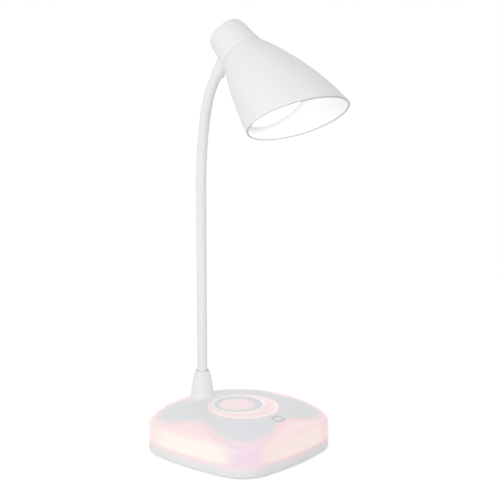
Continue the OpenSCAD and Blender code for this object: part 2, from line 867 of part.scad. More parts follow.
module head_nut() color("silver") {
    on_end() translate([0, 0, ferrule_reach - pad_reach]) difference() {
        hex(head_nut_r, head_nut_h);
        translate([0, 0, -1]) cylinder(r = head_stub_r + 0.02, h = head_nut_h + 2);
    }
}

module bell_rib(z, inner_r) {
    rotate_extrude() polygon([
        [inner_r, z], [bell_in(z) + bell_t / 2, z], [bell_in(z + rib_t) + bell_t / 2, z + rib_t],
        [inner_r, z + rib_t]
    ]);
}

module shade_bell() color("white") {
    steps = [for (k = [0:bell_steps]) bell_end * k / bell_steps];
    boss_floor = 0.6;
    in_bell() difference() {
        union() {
            rotate_extrude() polygon(concat(
                [[spigot_in, -spigot_l], [spigot_r, -spigot_l], [spigot_r, 0]],
                [for (z = steps) [bell_out(z), z]],
                [for (k = [bell_steps:-1:1]) let (z = steps[k]) [bell_in(z), z]],
                [[bell_in(bell_floor), bell_floor], [spigot_in, bell_floor]]
            ));
            bell_rib(board_rib_z, led_screw_d - led_boss_r);
            bell_rib(diffuser_rib_z, diffuser_r + fit);
            at_thirds(led_screw_d) translate([0, 0, board_rib_z - led_boss_l])
                cylinder(r = led_boss_r, h = led_boss_l + rib_t / 2);
        }
        at_thirds(led_screw_d) translate([0, 0, board_rib_z - led_boss_l + boss_floor])
            cylinder(r = led_screw_r, h = led_boss_l + rib_t);
        at_thirds(spigot_mid) translate([0, 0, -spigot_l - eps]) cylinder(r = ring_screw_r, h = spigot_l);
        translate([0, 0, mouth_z]) rotate([0, -mouth_tilt, 0])
            translate([-big / 2, -big / 2, 0]) cube(big);
    }
}

module turn_ring() color("gainsboro") {
    in_bell() translate([0, 0, -spigot_l - turn_ring_t]) difference() {
        tube(turn_ring_r, spigot_in, turn_ring_t);
        at_thirds(spigot_mid) cylinder_through(0, 0, ring_screw_r + 0.2);
    }
}

module ring_screws() color("silver") {
    bite = 2.4;
    in_bell() at_thirds(spigot_mid) translate([0, 0, -spigot_l - turn_ring_t])
        screw(ring_screw_r, ring_head_r, ring_head_h, turn_ring_t + bite);
}

module led_board() color("whitesmoke") {
    wire_r = 2.5;
    in_bell() translate([0, 0, led_board_z]) difference() {
        cylinder(r = bell_in(led_board_z) - run_gap, h = led_board_t);
        cylinder_through(0, 0, wire_r);
        at_thirds(led_screw_d) cylinder_through(0, 0, led_screw_r + run_gap);
    }
}

module led_chips() color("khaki") {
    chip = [3, 3, 0.8];
    inner_reach = 8.5;
    outer_reach = 18.5;
    in_bell() translate([0, 0, led_front]) {
        led_circle(6, inner_reach, 0, chip);
        led_circle(12, outer_reach, 10, chip);
    }
}

module led_screws() color("silver") {
    bite = 3.4;
    head_t = 0.9;
    in_bell() at_thirds(led_screw_d) translate([0, 0, led_front]) mirror([0, 0, 1])
        screw(led_screw_r, led_head_r, head_t, led_board_t + bite);
}

module reflector() color("white") {
    back_r = led_screw_d - led_head_r - 2 * run_gap;
    front_r = diffuser_r - 2 * run_gap;
    in_bell() rotate_extrude() polygon([
        [back_r - reflector_t, led_front], [back_r, led_front], [front_r, diffuser_z],
        [front_r - reflector_t, diffuser_z]
    ]);
}

module diffuser() color("ivory") {
    rim_z = diffuser_z + diffuser_rim;
    flange_r = bell_in(diffuser_z) - fit;
    steps = 8;
    inner_r = diffuser_r - diffuser_wall;
    in_bell() rotate_extrude() polygon(concat(
        [[inner_r, diffuser_z], [flange_r, diffuser_z], [flange_r, diffuser_z + diffuser_flange],
         [diffuser_r, diffuser_z + diffuser_flange]],
        [for (k = [0:steps]) let (a = 90 * k / steps) [diffuser_r * cos(a), rim_z + lens_rise * sin(a)]],
        [for (k = [steps:-1:0]) let (a = 90 * k / steps)
            [inner_r * cos(a), rim_z + (lens_rise - diffuser_wall) * sin(a)]]
    ));
}

module diffuser_ring() color("white") {
    back = diffuser_z + diffuser_flange;
    in_bell() rotate_extrude() polygon([
        [diffuser_r + fit, back], [bell_in(back) - 0.05, back], [bell_in(back + ring_t) - 0.05, back + ring_t],
        [diffuser_r + fit, back + ring_t]
    ]);
}

anti_slip_pad();
bottom_cover();
base_screws();
ballast_plate();
battery_cradle();
battery_cell();
control_board();
charge_inlet();
light_band();
top_cover();
mood_board();
mood_leds();
board_screws();
touch_contact();
color_ring();
touch_dish();
center_lens();
neck_socket();
neck_root();
neck_washer();
neck_nut();
sleeve_root();
for (k = [1:joints - 1]) {
    neck_core(k);
    neck_sleeve(k);
}
core_top();
sleeve_top();
ferrule();
rear_cap();
head_nut();
shade_bell();
turn_ring();
ring_screws();
led_board();
led_chips();
led_screws();
reflector();
diffuser();
diffuser_ring();
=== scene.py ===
import json
import math

import bpy
import bmesh
from mathutils import Matrix, Vector


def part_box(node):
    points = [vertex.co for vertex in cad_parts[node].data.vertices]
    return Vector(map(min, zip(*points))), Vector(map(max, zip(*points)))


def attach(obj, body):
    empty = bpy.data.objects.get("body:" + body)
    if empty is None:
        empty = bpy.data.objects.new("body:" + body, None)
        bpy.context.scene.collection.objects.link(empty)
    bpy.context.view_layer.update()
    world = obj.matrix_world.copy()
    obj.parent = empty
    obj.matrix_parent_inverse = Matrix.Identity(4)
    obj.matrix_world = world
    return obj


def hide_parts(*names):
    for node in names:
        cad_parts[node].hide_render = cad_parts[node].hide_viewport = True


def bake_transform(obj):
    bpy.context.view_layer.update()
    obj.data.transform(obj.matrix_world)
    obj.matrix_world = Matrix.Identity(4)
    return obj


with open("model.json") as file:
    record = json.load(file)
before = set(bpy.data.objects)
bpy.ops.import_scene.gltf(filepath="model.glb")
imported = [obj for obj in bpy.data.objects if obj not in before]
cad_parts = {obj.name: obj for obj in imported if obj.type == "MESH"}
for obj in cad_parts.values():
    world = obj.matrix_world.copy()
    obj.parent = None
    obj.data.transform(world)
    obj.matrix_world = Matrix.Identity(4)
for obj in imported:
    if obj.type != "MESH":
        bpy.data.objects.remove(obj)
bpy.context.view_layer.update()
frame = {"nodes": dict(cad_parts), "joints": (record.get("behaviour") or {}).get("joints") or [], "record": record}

# A white desk lamp: a pillow-shaped base whose sides glow, a soft-sleeved neck and a bell shade.
# Everything is in metres, in the frame of the model: +X in front, +Z up.

MM = 0.001
TAU = 2 * math.pi

# ---------------------------------------------------------------- sizes

# Base outline: four bowed sides and four corner arcs. SIDE_C is how far ahead a side's arc has
# its centre, CORNER_T and CORNER_C where a corner's arc has its own, along an axis and in all.
HALF_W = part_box("light_band")[1].x
CORNER_R = 31.3 * MM
SIDE_BOW = 10.8 * MM
SIDE_R = (HALF_W ** 2 + SIDE_BOW ** 2) / (2 * SIDE_BOW)
SIDE_C = HALF_W - SIDE_R
CORNER_T = (SIDE_C + math.sqrt(2 * (SIDE_R - CORNER_R) ** 2 - SIDE_C ** 2)) / 2
CORNER_C = CORNER_T * math.sqrt(2)
TANGENT = math.atan2(CORNER_T, CORNER_T - SIDE_C)
SKIRT_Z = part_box("light_band")[0].z
SKIRT_LAP = 3 * MM
BASE_SIDES = 360

# Dome and lobes
DOME_H = 42.3 * MM
DOME_FALL = 8.8 * MM
DOME_POWER = 3.2
EDGE_R = 5 * MM
BAND_WALL = 2.4 * MM
COVER_T = 1.8 * MM
COVER_EDGE = 0.25 * MM
COVER_STEPS = 36
LAND_W = 5 * MM
LOBE_INSET = 16.6 * MM
LOBE_GAP = 0.8 * MM
LOBE_SHAPE = 0.72 * MM
FIT = 0.15 * MM
BEVEL = 0.3 * MM

# Ring, dish and lens. LENS_AHEAD moves the lens ahead of its node's middle, as in the photograph,
# and LENS_MARGIN leaves out the flange that its node has below the dish. STEP_H is how far the
# dish and the lens lie below the edges round them.
RING_LOW, RING_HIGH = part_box("color_ring")
RING_X = (RING_LOW.x + RING_HIGH.x) / 2
RING_R = (RING_HIGH.x - RING_LOW.x) / 2
RING_EDGE = 1.2 * MM
RING_CROWN = 0.35 * MM
RING_CROWN_W = 3 * MM
RING_FLAT = 0.8 * MM
RING_WALL = 3 * MM
RING_SEAM = 0.05 * MM
DISH_LOW, DISH_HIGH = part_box("touch_dish")
DISH_FLANGE = 1.5 * MM
DISH_X = (DISH_LOW.x + DISH_HIGH.x) / 2
DISH_R = (DISH_HIGH.x - DISH_LOW.x) / 2 - DISH_FLANGE
DISH_DEPTH = 0.8 * MM
DISH_WALL = 2.8 * MM
DISH_SOFT = 0.2 * MM
DISH_SIDES = 256
DISH_STEPS = 14
LENS_LOW, LENS_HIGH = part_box("center_lens")
LENS_AHEAD = 2.2 * MM
LENS_MARGIN = 1.6 * MM
LENS_X = (LENS_LOW.x + LENS_HIGH.x) / 2 + LENS_AHEAD
LENS_R = (LENS_HIGH.x - LENS_LOW.x) / 2 - LENS_MARGIN
LENS_EDGE = 1.5 * MM
LENS_RISE = 0.5 * MM
LENS_TIP = 0.03
LENS_SIDES = 128
LIP_H = 0.7 * MM
LIP_W = 1.4 * MM
STEP_H = 0.15 * MM

# Touch mark
KEY_X = 47.9 * MM
KEY_Y = -1.4 * MM
KEY_SIDE = 9.2 * MM
KEY_CORNER = 1.5 * MM
KEY_LINE = 0.5 * MM
PRINT_H = 0.05 * MM

# Neck and socket. The sleeve starts SLEEVE_DEPTH below the first joint, and its part that is more
# than SLEEVE_STILL below stays with the base. The flare is a curve from the foot up to FLARE_Z,
# and FOOT_PULL and FLARE_PULL are the lengths of its handles.
JOINTS = {j["name"]: j for j in frame["joints"]}
SLEEVE_LOW, SLEEVE_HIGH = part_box("sleeve_1")
SLEEVE_R = (SLEEVE_HIGH.x - SLEEVE_LOW.x) / 2
SLEEVE_WALL = 0.8 * MM
SLEEVE_DEPTH = 20 * MM
SLEEVE_SIDES = 48
SLEEVE_STEPS = 24
NECK_X = (SLEEVE_HIGH.x + SLEEVE_LOW.x) / 2
SOCKET_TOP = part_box("neck_socket")[1].z
SOCKET_R = 6.95 * MM
SOCKET_SLOPE = 0.19
SOCKET_FOOT = 17.2 * MM
SOCKET_LIP = 0.7 * MM
SOCKET_PLAY = 0.8 * MM
SOCKET_RECESS = 2.5 * MM
SOCKET_SUNK = 2 * MM
SOCKET_HEM = 0.6 * MM
SOCKET_SIDES = 128
FLARE_Z = 51 * MM
FLARE_PULL = 6.5 * MM
FLARE_STEPS = 20
FOOT_PULL = 7 * MM
FOOT_RISE = 0.04 * MM
TOP_TURN = math.radians(18.2)
FERRULE_BORE = 4 * MM

# Head: the axes come from the turning joint
TURN = JOINTS["shade_turn"]
HEAD = Vector(TURN["pos_m"])
SHADE_AXIS = Vector(TURN["axis"]).normalized()
SHADE_TURN = math.radians(31.3)
HEAD_SIDES = 160
CREASE_R = 20.1 * MM
CREASE_GAP = 0.06 * MM
BELL_R = 45.5 * MM
BELL_L = 105 * MM
BELL_POWER = 1.9
BELL_T = 1.7 * MM
BELL_SEAT = 2.2 * MM
BELL_SOFT = 0.2 * MM
BELL_START = 0.15 * MM
BELL_EDGE = 0.6 * MM
BELL_SIDES = 240
BELL_STEPS = 40
MOUTH_Z = 80.4 * MM
MOUTH_TILT = math.radians(21.3)
SPIGOT_IN = 14.4 * MM
SPIGOT_Z = 2 * MM
CAP_L = 28 * MM
CAP_REAR_R = 17.2 * MM
CAP_ROUND = 4.5 * MM
CAP_T = 1.9 * MM
CAP_WALL = 2.4 * MM
CAP_LIP = 0.25 * MM
CAP_FLARE = 0.15 * MM
CAP_FLAT_R = 8 * MM
CAP_HOLE_R = 0.3 * MM
CAP_SEAT_Z = -6 * MM
DIFFUSER_GAP = 2.4 * MM
DIFFUSER_Z = 50 * MM
DIFFUSER_RIM = 5 * MM
DIFFUSER_RISE = 9.5 * MM
DIFFUSER_T = 1.6 * MM
DIFFUSER_TIP = 0.01
DIFFUSER_STEPS = 24

# Photograph's camera
CAMERA_AZIMUTH = math.radians(40.4)
CAMERA_ELEVATION = math.radians(14)
CAMERA_DISTANCE = 1666.7 * MM
CAMERA_SIDE = 10.2 * MM
CAMERA_UP = 183.3 * MM
CAMERA_END = 20
FOCAL_PX = 1800
IMAGE_PX = 500
SENSOR = 36

# Meshes
SHARP = math.radians(35)
FACET_SHARP = math.radians(32)
FACET_WELD = 0.002 * MM
SLEEVE_WELD = 0.001 * MM


# ---------------------------------------------------------------- shapes as functions

def even_steps(start, end, steps):
    """Values from start to end, both included."""
    return [start + (end - start) * k / steps for k in range(steps + 1)]


def around(count):
    return [TAU * k / count for k in range(count)]


def arc(centre, radius, start, end, steps):
    """Points of an arc, as pairs, with its angles in degrees."""
    angles = [math.radians(a) for a in even_steps(start, end, steps)]
    return [(centre[0] + radius * math.cos(a), centre[1] + radius * math.sin(a)) for a in angles]


def fold(angle):
    """Angle from the middle of the nearest side."""
    quarter = TAU / 4
    return abs((angle + quarter / 2) % quarter - quarter / 2)


def rim(angle, inset):
    """Distance from the centre to the base's outline, drawn in by inset."""
    f = fold(angle)
    r = SIDE_R - inset
    if f < math.atan2(r * math.sin(TANGENT), SIDE_C + r * math.cos(TANGENT)):
        return SIDE_C * math.cos(f) + math.sqrt(r ** 2 - (SIDE_C * math.sin(f)) ** 2)
    g = TAU / 8 - f
    r = CORNER_R - inset
    return CORNER_C * math.cos(g) + math.sqrt(r ** 2 - (CORNER_C * math.sin(g)) ** 2)


def dome(r):
    """Height of the dome at the distance r from the base's axis."""
    return DOME_H - DOME_FALL * (r / HALF_W) ** DOME_POWER


def dome_slope(r):
    return math.atan(DOME_POWER * DOME_FALL * (r / HALF_W) ** DOME_POWER / r)


LOBE_TIP = rim(TAU / 8, EDGE_R) - LOBE_GAP
LOBE_VALLEY = HALF_W - LOBE_INSET
LOBE_MEAN = (LOBE_TIP + LOBE_VALLEY) / 2 + LOBE_SHAPE
LOBE_WAVE = (LOBE_TIP - LOBE_VALLEY) / 2


def lobe(angle):
    """Distance from the centre to the cover's edge."""
    return LOBE_MEAN - LOBE_WAVE * math.cos(4 * angle) - LOBE_SHAPE * math.cos(8 * angle)


def circle_reach(angle, offset, radius):
    """Distance to a circle whose centre lies offset ahead along +X."""
    return offset * math.cos(angle) + math.sqrt(radius ** 2 - (offset * math.sin(angle)) ** 2)


def bell_out(z):
    """Outer radius of the bell at the distance z from the crease."""
    return CREASE_R + (BELL_R - CREASE_R) * (1 - (1 - z / BELL_L) ** BELL_POWER)


def bell_in(z):
    slope = (BELL_R - CREASE_R) * BELL_POWER / BELL_L * (1 - z / BELL_L) ** (BELL_POWER - 1)
    return bell_out(z) - BELL_T * math.sqrt(1 + slope ** 2)


DIFFUSER_R = bell_in(DIFFUSER_Z) - DIFFUSER_GAP


def head_place(turn=0.0):
    """Head's axes: Z along the shade's axis, X up and ahead, turned about Z."""
    up = SHADE_AXIS.cross(Vector((0, 1, 0)))
    side = up.cross(SHADE_AXIS)
    across = up * math.cos(turn) + side * math.sin(turn)
    third = SHADE_AXIS.cross(across)
    place = Matrix((across, third, SHADE_AXIS)).transposed().to_4x4()
    place.translation = HEAD
    return place


# ---------------------------------------------------------------- mesh tools

def finish_mesh(name, bm):
    """Object at the origin, with its faces outwards, smooth but for its sharp edges."""
    bmesh.ops.recalc_face_normals(bm, faces=bm.faces)
    mesh = bpy.data.meshes.new(name)
    bm.to_mesh(mesh)
    bm.free()
    mesh.shade_smooth()
    mesh.set_sharp_from_angle(angle=SHARP)
    piece = bpy.data.objects.new(name, mesh)
    bpy.context.scene.collection.objects.link(piece)
    return piece


def loft(name, rings, closed=True, place=None):
    """Skin over rings of points. Closed joins the last ring to the first; otherwise the two
    ends are filled."""
    bm = bmesh.new()
    count = len(rings[0])
    verts = [[bm.verts.new(place @ Vector(p) if place else p) for p in ring] for ring in rings]
    spans = len(rings) if closed else len(rings) - 1
    for i in range(spans):
        low, high = verts[i], verts[(i + 1) % len(rings)]
        for j in range(count):
            k = (j + 1) % count
            bm.faces.new((low[j], low[k], high[k], high[j]))
    if not closed:
        for ring in (verts[0], verts[-1]):
            middle = bm.verts.new(sum((v.co for v in ring), Vector()) / count)
            for j in range(count):
                bm.faces.new((ring[j], ring[(j + 1) % count], middle))
    return finish_mesh(name, bm)


def polar_loft(name, section, count, centre=0.0, closed=True, place=None):
    """Loft whose sections, as distance and height, are given for each angle round the point
    at centre on the X axis of place."""
    columns = [[(centre + r * math.cos(a), r * math.sin(a), z) for r, z in section(a)]
               for a in around(count)]
    rings = [list(ring) for ring in zip(*columns)]
    return loft(name, rings, closed, place)


def lathe(name, profile, count, place, closed=True):
    """Loft of one profile turned round the Z axis of place."""
    return polar_loft(name, lambda angle: profile, count, closed=closed, place=place)


# ---------------------------------------------------------------- node tools

def new_group(name, inputs, outputs):
    """Shader group with inputs by their default values and outputs by their kinds, and its
    input and output nodes."""
    group = bpy.data.node_groups.new(name, "ShaderNodeTree")
    kinds = {float: "NodeSocketFloat", tuple: "NodeSocketColor"}
    for label, value in inputs.items():
        socket = group.interface.new_socket(name=label, in_out="INPUT", socket_type=kinds[type(value)])
        socket.default_value = value
    for label, kind in outputs.items():
        group.interface.new_socket(name=label, in_out="OUTPUT", socket_type=kinds[kind])
    return group, group.nodes.new("NodeGroupInput"), group.nodes.new("NodeGroupOutput")


def use(tree, group, **values):
    node = tree.nodes.new("ShaderNodeGroup")
    node.node_tree = group
    for label, value in values.items():
        feed(tree, node.inputs[label], value)
    return node


def feed(tree, socket, value):
    """Links another socket to this one, or sets its value."""
    if isinstance(value, bpy.types.NodeSocket):
        tree.links.new(value, socket)
    else:
        socket.default_value = value


def calc(tree, operation, *values):
    node = tree.nodes.new("ShaderNodeMath")
    node.operation = operation
    for socket, value in zip(node.inputs, values):
        feed(tree, socket, value)
    return node.outputs[0]


def vector_calc(tree, operation, **values):
    """Vector operation on a, on a and b, or on a and a factor."""
    node = tree.nodes.new("ShaderNodeVectorMath")
    node.operation = operation
    sockets = {"a": 0, "b": 1, "factor": "Scale"}
    for label, value in values.items():
        feed(tree, node.inputs[sockets[label]], value)
    return node.outputs["Value" if operation in ("DOT_PRODUCT", "LENGTH") else "Vector"]


def point(tree):
    """Object coordinates of the shaded point, in metres."""
    return tree.nodes.new("ShaderNodeTexCoord").outputs["Object"]


def point_xyz(tree):
    split = tree.nodes.new("ShaderNodeSeparateXYZ")
    tree.links.new(point(tree), split.inputs[0])
    return split.outputs


def ramp(tree, value, low, high, start=0.0, end=1.0):
    """Smooth step from start at low to end at high."""
    node = tree.nodes.new("ShaderNodeMapRange")
    node.interpolation_type = "SMOOTHSTEP"
    for label, number in zip(("From Min", "From Max", "To Min", "To Max"), (low, high, start, end)):
        node.inputs[label].default_value = number
    feed(tree, node.inputs["Value"], value)
    return node.outputs["Result"]


def mix(tree, factor, first, second):
    node = tree.nodes.new("ShaderNodeMix")
    node.data_type = "RGBA"
    colours = [s for s in node.inputs if s.type == "RGBA"]
    feed(tree, node.inputs["Factor"], factor)
    feed(tree, colours[0], first)
    feed(tree, colours[1], second)
    return next(s for s in node.outputs if s.type == "RGBA")


def srgb(red, green, blue):
    """Colour from its display values, 0 to 255."""
    def linear(value):
        value /= 255
        return value / 12.92 if value <= 0.04045 else ((value + 0.055) / 1.055) ** 2.4
    return (linear(red), linear(green), linear(blue), 1.0)


def texture_noise(tree, scale, detail):
    noise = tree.nodes.new("ShaderNodeTexNoise")
    noise.inputs["Detail"].default_value = detail
    feed(tree, noise.inputs["Scale"], scale)
    tree.links.new(point(tree), noise.inputs["Vector"])
    return noise.outputs["Fac"]


WAVE_SCALE, WAVE_SHARE = 22.0, 0.3
PATCH_SCALE = 25.0


def make_grain():
    """Moulded surface: a fine grain and a slow waviness as height, and a patchiness value."""
    group, inside, outside = new_group("moulded_grain", {"Scale": 900.0}, {"Height": float, "Patches": float})
    fine = texture_noise(group, inside.outputs["Scale"], 3.0)
    slow = texture_noise(group, WAVE_SCALE, 1.0)
    group.links.new(calc(group, "MULTIPLY_ADD", slow, WAVE_SHARE, fine), outside.inputs["Height"])
    group.links.new(texture_noise(group, PATCH_SCALE, 0.0), outside.inputs["Patches"])
    return group


def make_tint():
    """Slight variation of a colour over the surface, as real mouldings and coatings have."""
    inputs = {"Colour": (0.8, 0.8, 0.8, 1.0), "Amount": 0.02, "Scale": 30.0}
    group, inside, outside = new_group("soft_tint", inputs, {"Colour": tuple})
    bright = calc(group, "SUBTRACT", texture_noise(group, inside.outputs["Scale"], 4.0), 0.5)
    bright = calc(group, "MULTIPLY_ADD", bright, inside.outputs["Amount"], 1.0)
    colour = vector_calc(group, "SCALE", a=inside.outputs["Colour"], factor=bright)
    group.links.new(colour, outside.inputs["Colour"])
    return group


def make_lobes():
    """Where a point of the base lies: its distance outside the cover's edge in millimetres, how
    near it is to a corner, from 1 at the (+X, -Y) one and the one across to -1 at the other two,
    and its place ahead and its height in millimetres."""
    outputs = dict.fromkeys(("Outside", "Corner", "Ahead", "Height"), float)
    group, _, outside = new_group("lobe_place", {}, outputs)
    x, y, z = point_xyz(group)
    xx = calc(group, "MULTIPLY", x, x)
    yy = calc(group, "MULTIPLY", y, y)
    rr = calc(group, "ADD", xx, yy)
    corner = calc(group, "DIVIDE", calc(group, "MULTIPLY", calc(group, "MULTIPLY", x, y), -2.0), rr)
    cos_four = calc(group, "MULTIPLY_ADD", calc(group, "MULTIPLY", corner, corner), -2.0, 1.0)
    cos_eight = calc(group, "MULTIPLY_ADD", calc(group, "MULTIPLY", cos_four, cos_four), 2.0, -1.0)
    edge = calc(group, "MULTIPLY_ADD", cos_four, -LOBE_WAVE, LOBE_MEAN)
    edge = calc(group, "MULTIPLY_ADD", cos_eight, -LOBE_SHAPE, edge)
    beyond = calc(group, "SUBTRACT", calc(group, "SQRT", rr), edge)
    group.links.new(calc(group, "DIVIDE", beyond, MM), outside.inputs["Outside"])
    group.links.new(corner, outside.inputs["Corner"])
    group.links.new(calc(group, "DIVIDE", x, MM), outside.inputs["Ahead"])
    group.links.new(calc(group, "DIVIDE", z, MM), outside.inputs["Height"])
    return group


def make_reach():
    """Distance of a point, in millimetres, from the vertical line through a place on the X axis."""
    group, inside, outside = new_group("reach_from_axis", {"Place": 0.0}, {"Distance": float})
    x, y, _ = point_xyz(group)
    ahead = calc(group, "SUBTRACT", x, inside.outputs["Place"])
    squares = calc(group, "MULTIPLY_ADD", ahead, ahead, calc(group, "MULTIPLY", y, y))
    group.links.new(calc(group, "DIVIDE", calc(group, "SQRT", squares), MM), outside.inputs["Distance"])
    return group


GRAIN = make_grain()
TINT = make_tint()
LOBES = make_lobes()
REACH = make_reach()


# ---------------------------------------------------------------- finishes

COAT_ROUGHNESS = 0.12
BUMP_DEPTH = 0.05 * MM
PATCHES = (0.25, 0.75)
MOULDED_GRAIN = (700.0, 0.3)
METAL_GRAIN = (2500.0, 0.25)
METAL_TINT = (0.08, 120.0)
USUAL_TINT = (0.03, 30.0)
GLOW_BASE = 0.5
GLOW = 0.52
COVER_GLOW = 0.14
SKIRT_GLOW = 0.15
OPAL_GLOW = 1.65


def new_material(name, metallic=0.0, coat=0.0, specular=0.5):
    material = bpy.data.materials.new(name)
    material.use_nodes = True
    shader = material.node_tree.nodes["Principled BSDF"]
    shader.inputs["Metallic"].default_value = metallic
    shader.inputs["Coat Weight"].default_value = coat
    shader.inputs["Coat Roughness"].default_value = COAT_ROUGHNESS
    shader.inputs["Specular IOR Level"].default_value = specular
    return material, material.node_tree, shader


def vary_gloss(tree, shader, patches, rough):
    """Roughness that follows patches over the surface, between two values."""
    tree.links.new(ramp(tree, patches, *PATCHES, *rough), shader.inputs["Roughness"])


def add_grain(tree, shader, scale, strength, rough):
    """Grain as a bump, and roughness that varies between two values."""
    grain = use(tree, GRAIN, Scale=scale)
    bump = tree.nodes.new("ShaderNodeBump")
    bump.inputs["Strength"].default_value = strength
    bump.inputs["Distance"].default_value = BUMP_DEPTH
    tree.links.new(grain.outputs["Height"], bump.inputs["Height"])
    tree.links.new(bump.outputs["Normal"], shader.inputs["Normal"])
    vary_gloss(tree, shader, grain.outputs["Patches"], rough)


def tinted(tree, colour, amount, scale=USUAL_TINT[1]):
    return use(tree, TINT, Colour=colour, Amount=amount, Scale=scale).outputs["Colour"]


def glow(material, shader, strength):
    """Own light, weak enough to be found by the rays that hit it."""
    shader.inputs["Emission Strength"].default_value = strength
    material.cycles.emission_sampling = "NONE"


def light_up(material, tree, shader, colour):
    """Milky plastic lit from behind: half of its colour is its own light."""
    tree.links.new(vector_calc(tree, "SCALE", a=colour, factor=GLOW_BASE), shader.inputs["Base Color"])
    tree.links.new(colour, shader.inputs["Emission Color"])
    glow(material, shader, GLOW)


def plain(name, colour, grain, tint=USUAL_TINT, **kind):
    """One colour, slightly varied, over a surface with a grain."""
    material, tree, shader = new_material(name, **kind)
    tree.links.new(tinted(tree, colour, *tint), shader.inputs["Base Color"])
    add_grain(tree, shader, *grain)
    return material


def moulded(low, high):
    """Usual grain of a plastic, with the roughness it varies between."""
    return (*MOULDED_GRAIN, (low, high))


def metal(name, colour, low, high):
    return plain(name, colour, (*METAL_GRAIN, (low, high)), METAL_TINT, metallic=1.0)


# Colours of the lit pieces and the shell
BLACK = (0, 0, 0, 1)
SHELL = srgb(241, 241, 242)
# Painted shade on the bell's lip
SHADED = srgb(208, 208, 209)
COVER = srgb(235, 236, 239)
SKIRT = srgb(240, 242, 244)
CREAM = srgb(255, 247, 240)
PEACH = srgb(255, 236, 230)
ROSE = srgb(250, 228, 228)
PINK = srgb(246, 219, 223)
DEEP_PINK = srgb(242, 214, 219)
LAVENDER = srgb(243, 221, 233)
RING_BACK = srgb(236, 222, 225)
RING_FRONT = srgb(246, 223, 224)
RING_BRIGHT = srgb(255, 241, 236)
# Painted highlight on the dish's lip, behind and in front
LIP_HIGHLIGHT_BACK = srgb(232, 230, 232)
LIP_HIGHLIGHT_FRONT = srgb(248, 245, 246)
LENS_MIDDLE = srgb(243, 220, 223)
LENS_RIM = srgb(236, 222, 226)
OPAL = srgb(252, 252, 252)
# Painted shade at the diffuser's rim
OPAL_RIM_SHADE = srgb(170, 170, 170)

# Grains: scale, strength and the roughness they vary between
SATIN_GRAIN = (1400.0, 0.08, (0.44, 0.47))
BAND_GRAIN = (900.0, 0.05, (0.34, 0.42))
SKIRT_GRAIN = (1200.0, 0.1, (0.32, 0.4))
RING_GRAIN = (900.0, 0.05, (0.3, 0.38))
LENS_GRAIN = (900.0, 0.04, (0.3, 0.38))
OPAL_GRAIN = (900.0, 0.04, (0.45, 0.55))
SLEEVE_GRAIN = (1400.0, 0.04, (0.49, 0.52))
DISH_GRAIN = (1200.0, 0.08, (0.28, 0.36))
PAD_GRAIN = (500.0, 0.8, (0.75, 0.9))
FOAM_GRAIN = (350.0, 1.0, (0.85, 0.95))
COVER_ROUGH = (0.3, 0.31)
COVER_PATCHES = 10.0

# Tints: amount and, where it isn't the usual one, scale
SATIN_TINT = (0.012,)
COVER_TINT = (0.006, 12.0)
BAND_TINT = (0.02, 14.0)
SKIRT_TINT = (0.015, 25.0)
RING_TINT = (0.015, 40.0)
LENS_TINT = (0.02, 35.0)
OPAL_TINT = (0.01, 40.0)

# Where colours change on the base: two places in millimetres, and the shares there if they
# aren't 0 and 1
TOWER_WHITE = (12.0, 25.0, 1.0, 0.0)
EDGE_SPILL = (-8.0, 1.0, 0.0, 0.9)
RING_SPILL = (RING_R / MM - 1, RING_R / MM + 6, 0.35, 0.0)
RING_SHINE = (RING_R / MM - 4, RING_R / MM - 0.5)
# Band of the painted highlight on the dish's lip
LIP_HIGHLIGHT_BAND = ((DISH_R + LIP_W) / MM, (DISH_R + 2 * LIP_W) / MM, 1.0, 0.0)
LENS_FADE = (LENS_R / MM - 6, LENS_R / MM)
FRONT_WARM = (35.0, 66.0)
FRONT_DEEP = (-30.0, 30.0)
SIDE_TOP = (24.0, 35.0)
SIDE_FOOT = (SKIRT_Z / MM, SKIRT_Z / MM + 4, 0.7, 0.0)
UNDER_EDGE = (0.0, 8.0, 1.0, 0.0)
SKIRT_TOP = (5.0, SKIRT_Z / MM, 0.0, 0.6)

# The same for how near a corner is, and how sharply the colour gathers there
ROSY_CORNERS, ROSY_POWER = (-0.6, -1.0), 3.0
LAVENDER_CORNERS, LAVENDER_POWER = (0.6, 1.0), 9.0

# And in metres
FRONT_BRIGHT = (-30 * MM, 10 * MM)
# Width of the painted shade on the bell's lip, and of its fade
LIP_SHADE_LINE = 1.1 * MM
LIP_SHADE_FADE = LIP_SHADE_LINE / 2
# Width of the painted shade at the diffuser's rim
OPAL_SHADE_FADE = 4 * MM


def bell_white():
    """Satin white, with painted shade on the lip of the mouth."""
    material, tree, shader = new_material("bell_white", specular=0.25)
    facing = head_place(SHADE_TURN).to_3x3() @ Vector((-math.sin(MOUTH_TILT), 0, math.cos(MOUTH_TILT)))
    mouth = facing.dot(HEAD) + MOUTH_Z * math.cos(MOUTH_TILT)
    along = vector_calc(tree, "DOT_PRODUCT", a=point(tree), b=facing)
    # Painted shade: the lip of the mouth, which faces down, is made grey
    lip = ramp(tree, calc(tree, "SUBTRACT", along, mouth), -LIP_SHADE_LINE, -LIP_SHADE_FADE)
    tree.links.new(tinted(tree, mix(tree, lip, SHELL, SHADED), *SATIN_TINT), shader.inputs["Base Color"])
    add_grain(tree, shader, *SATIN_GRAIN)
    return material


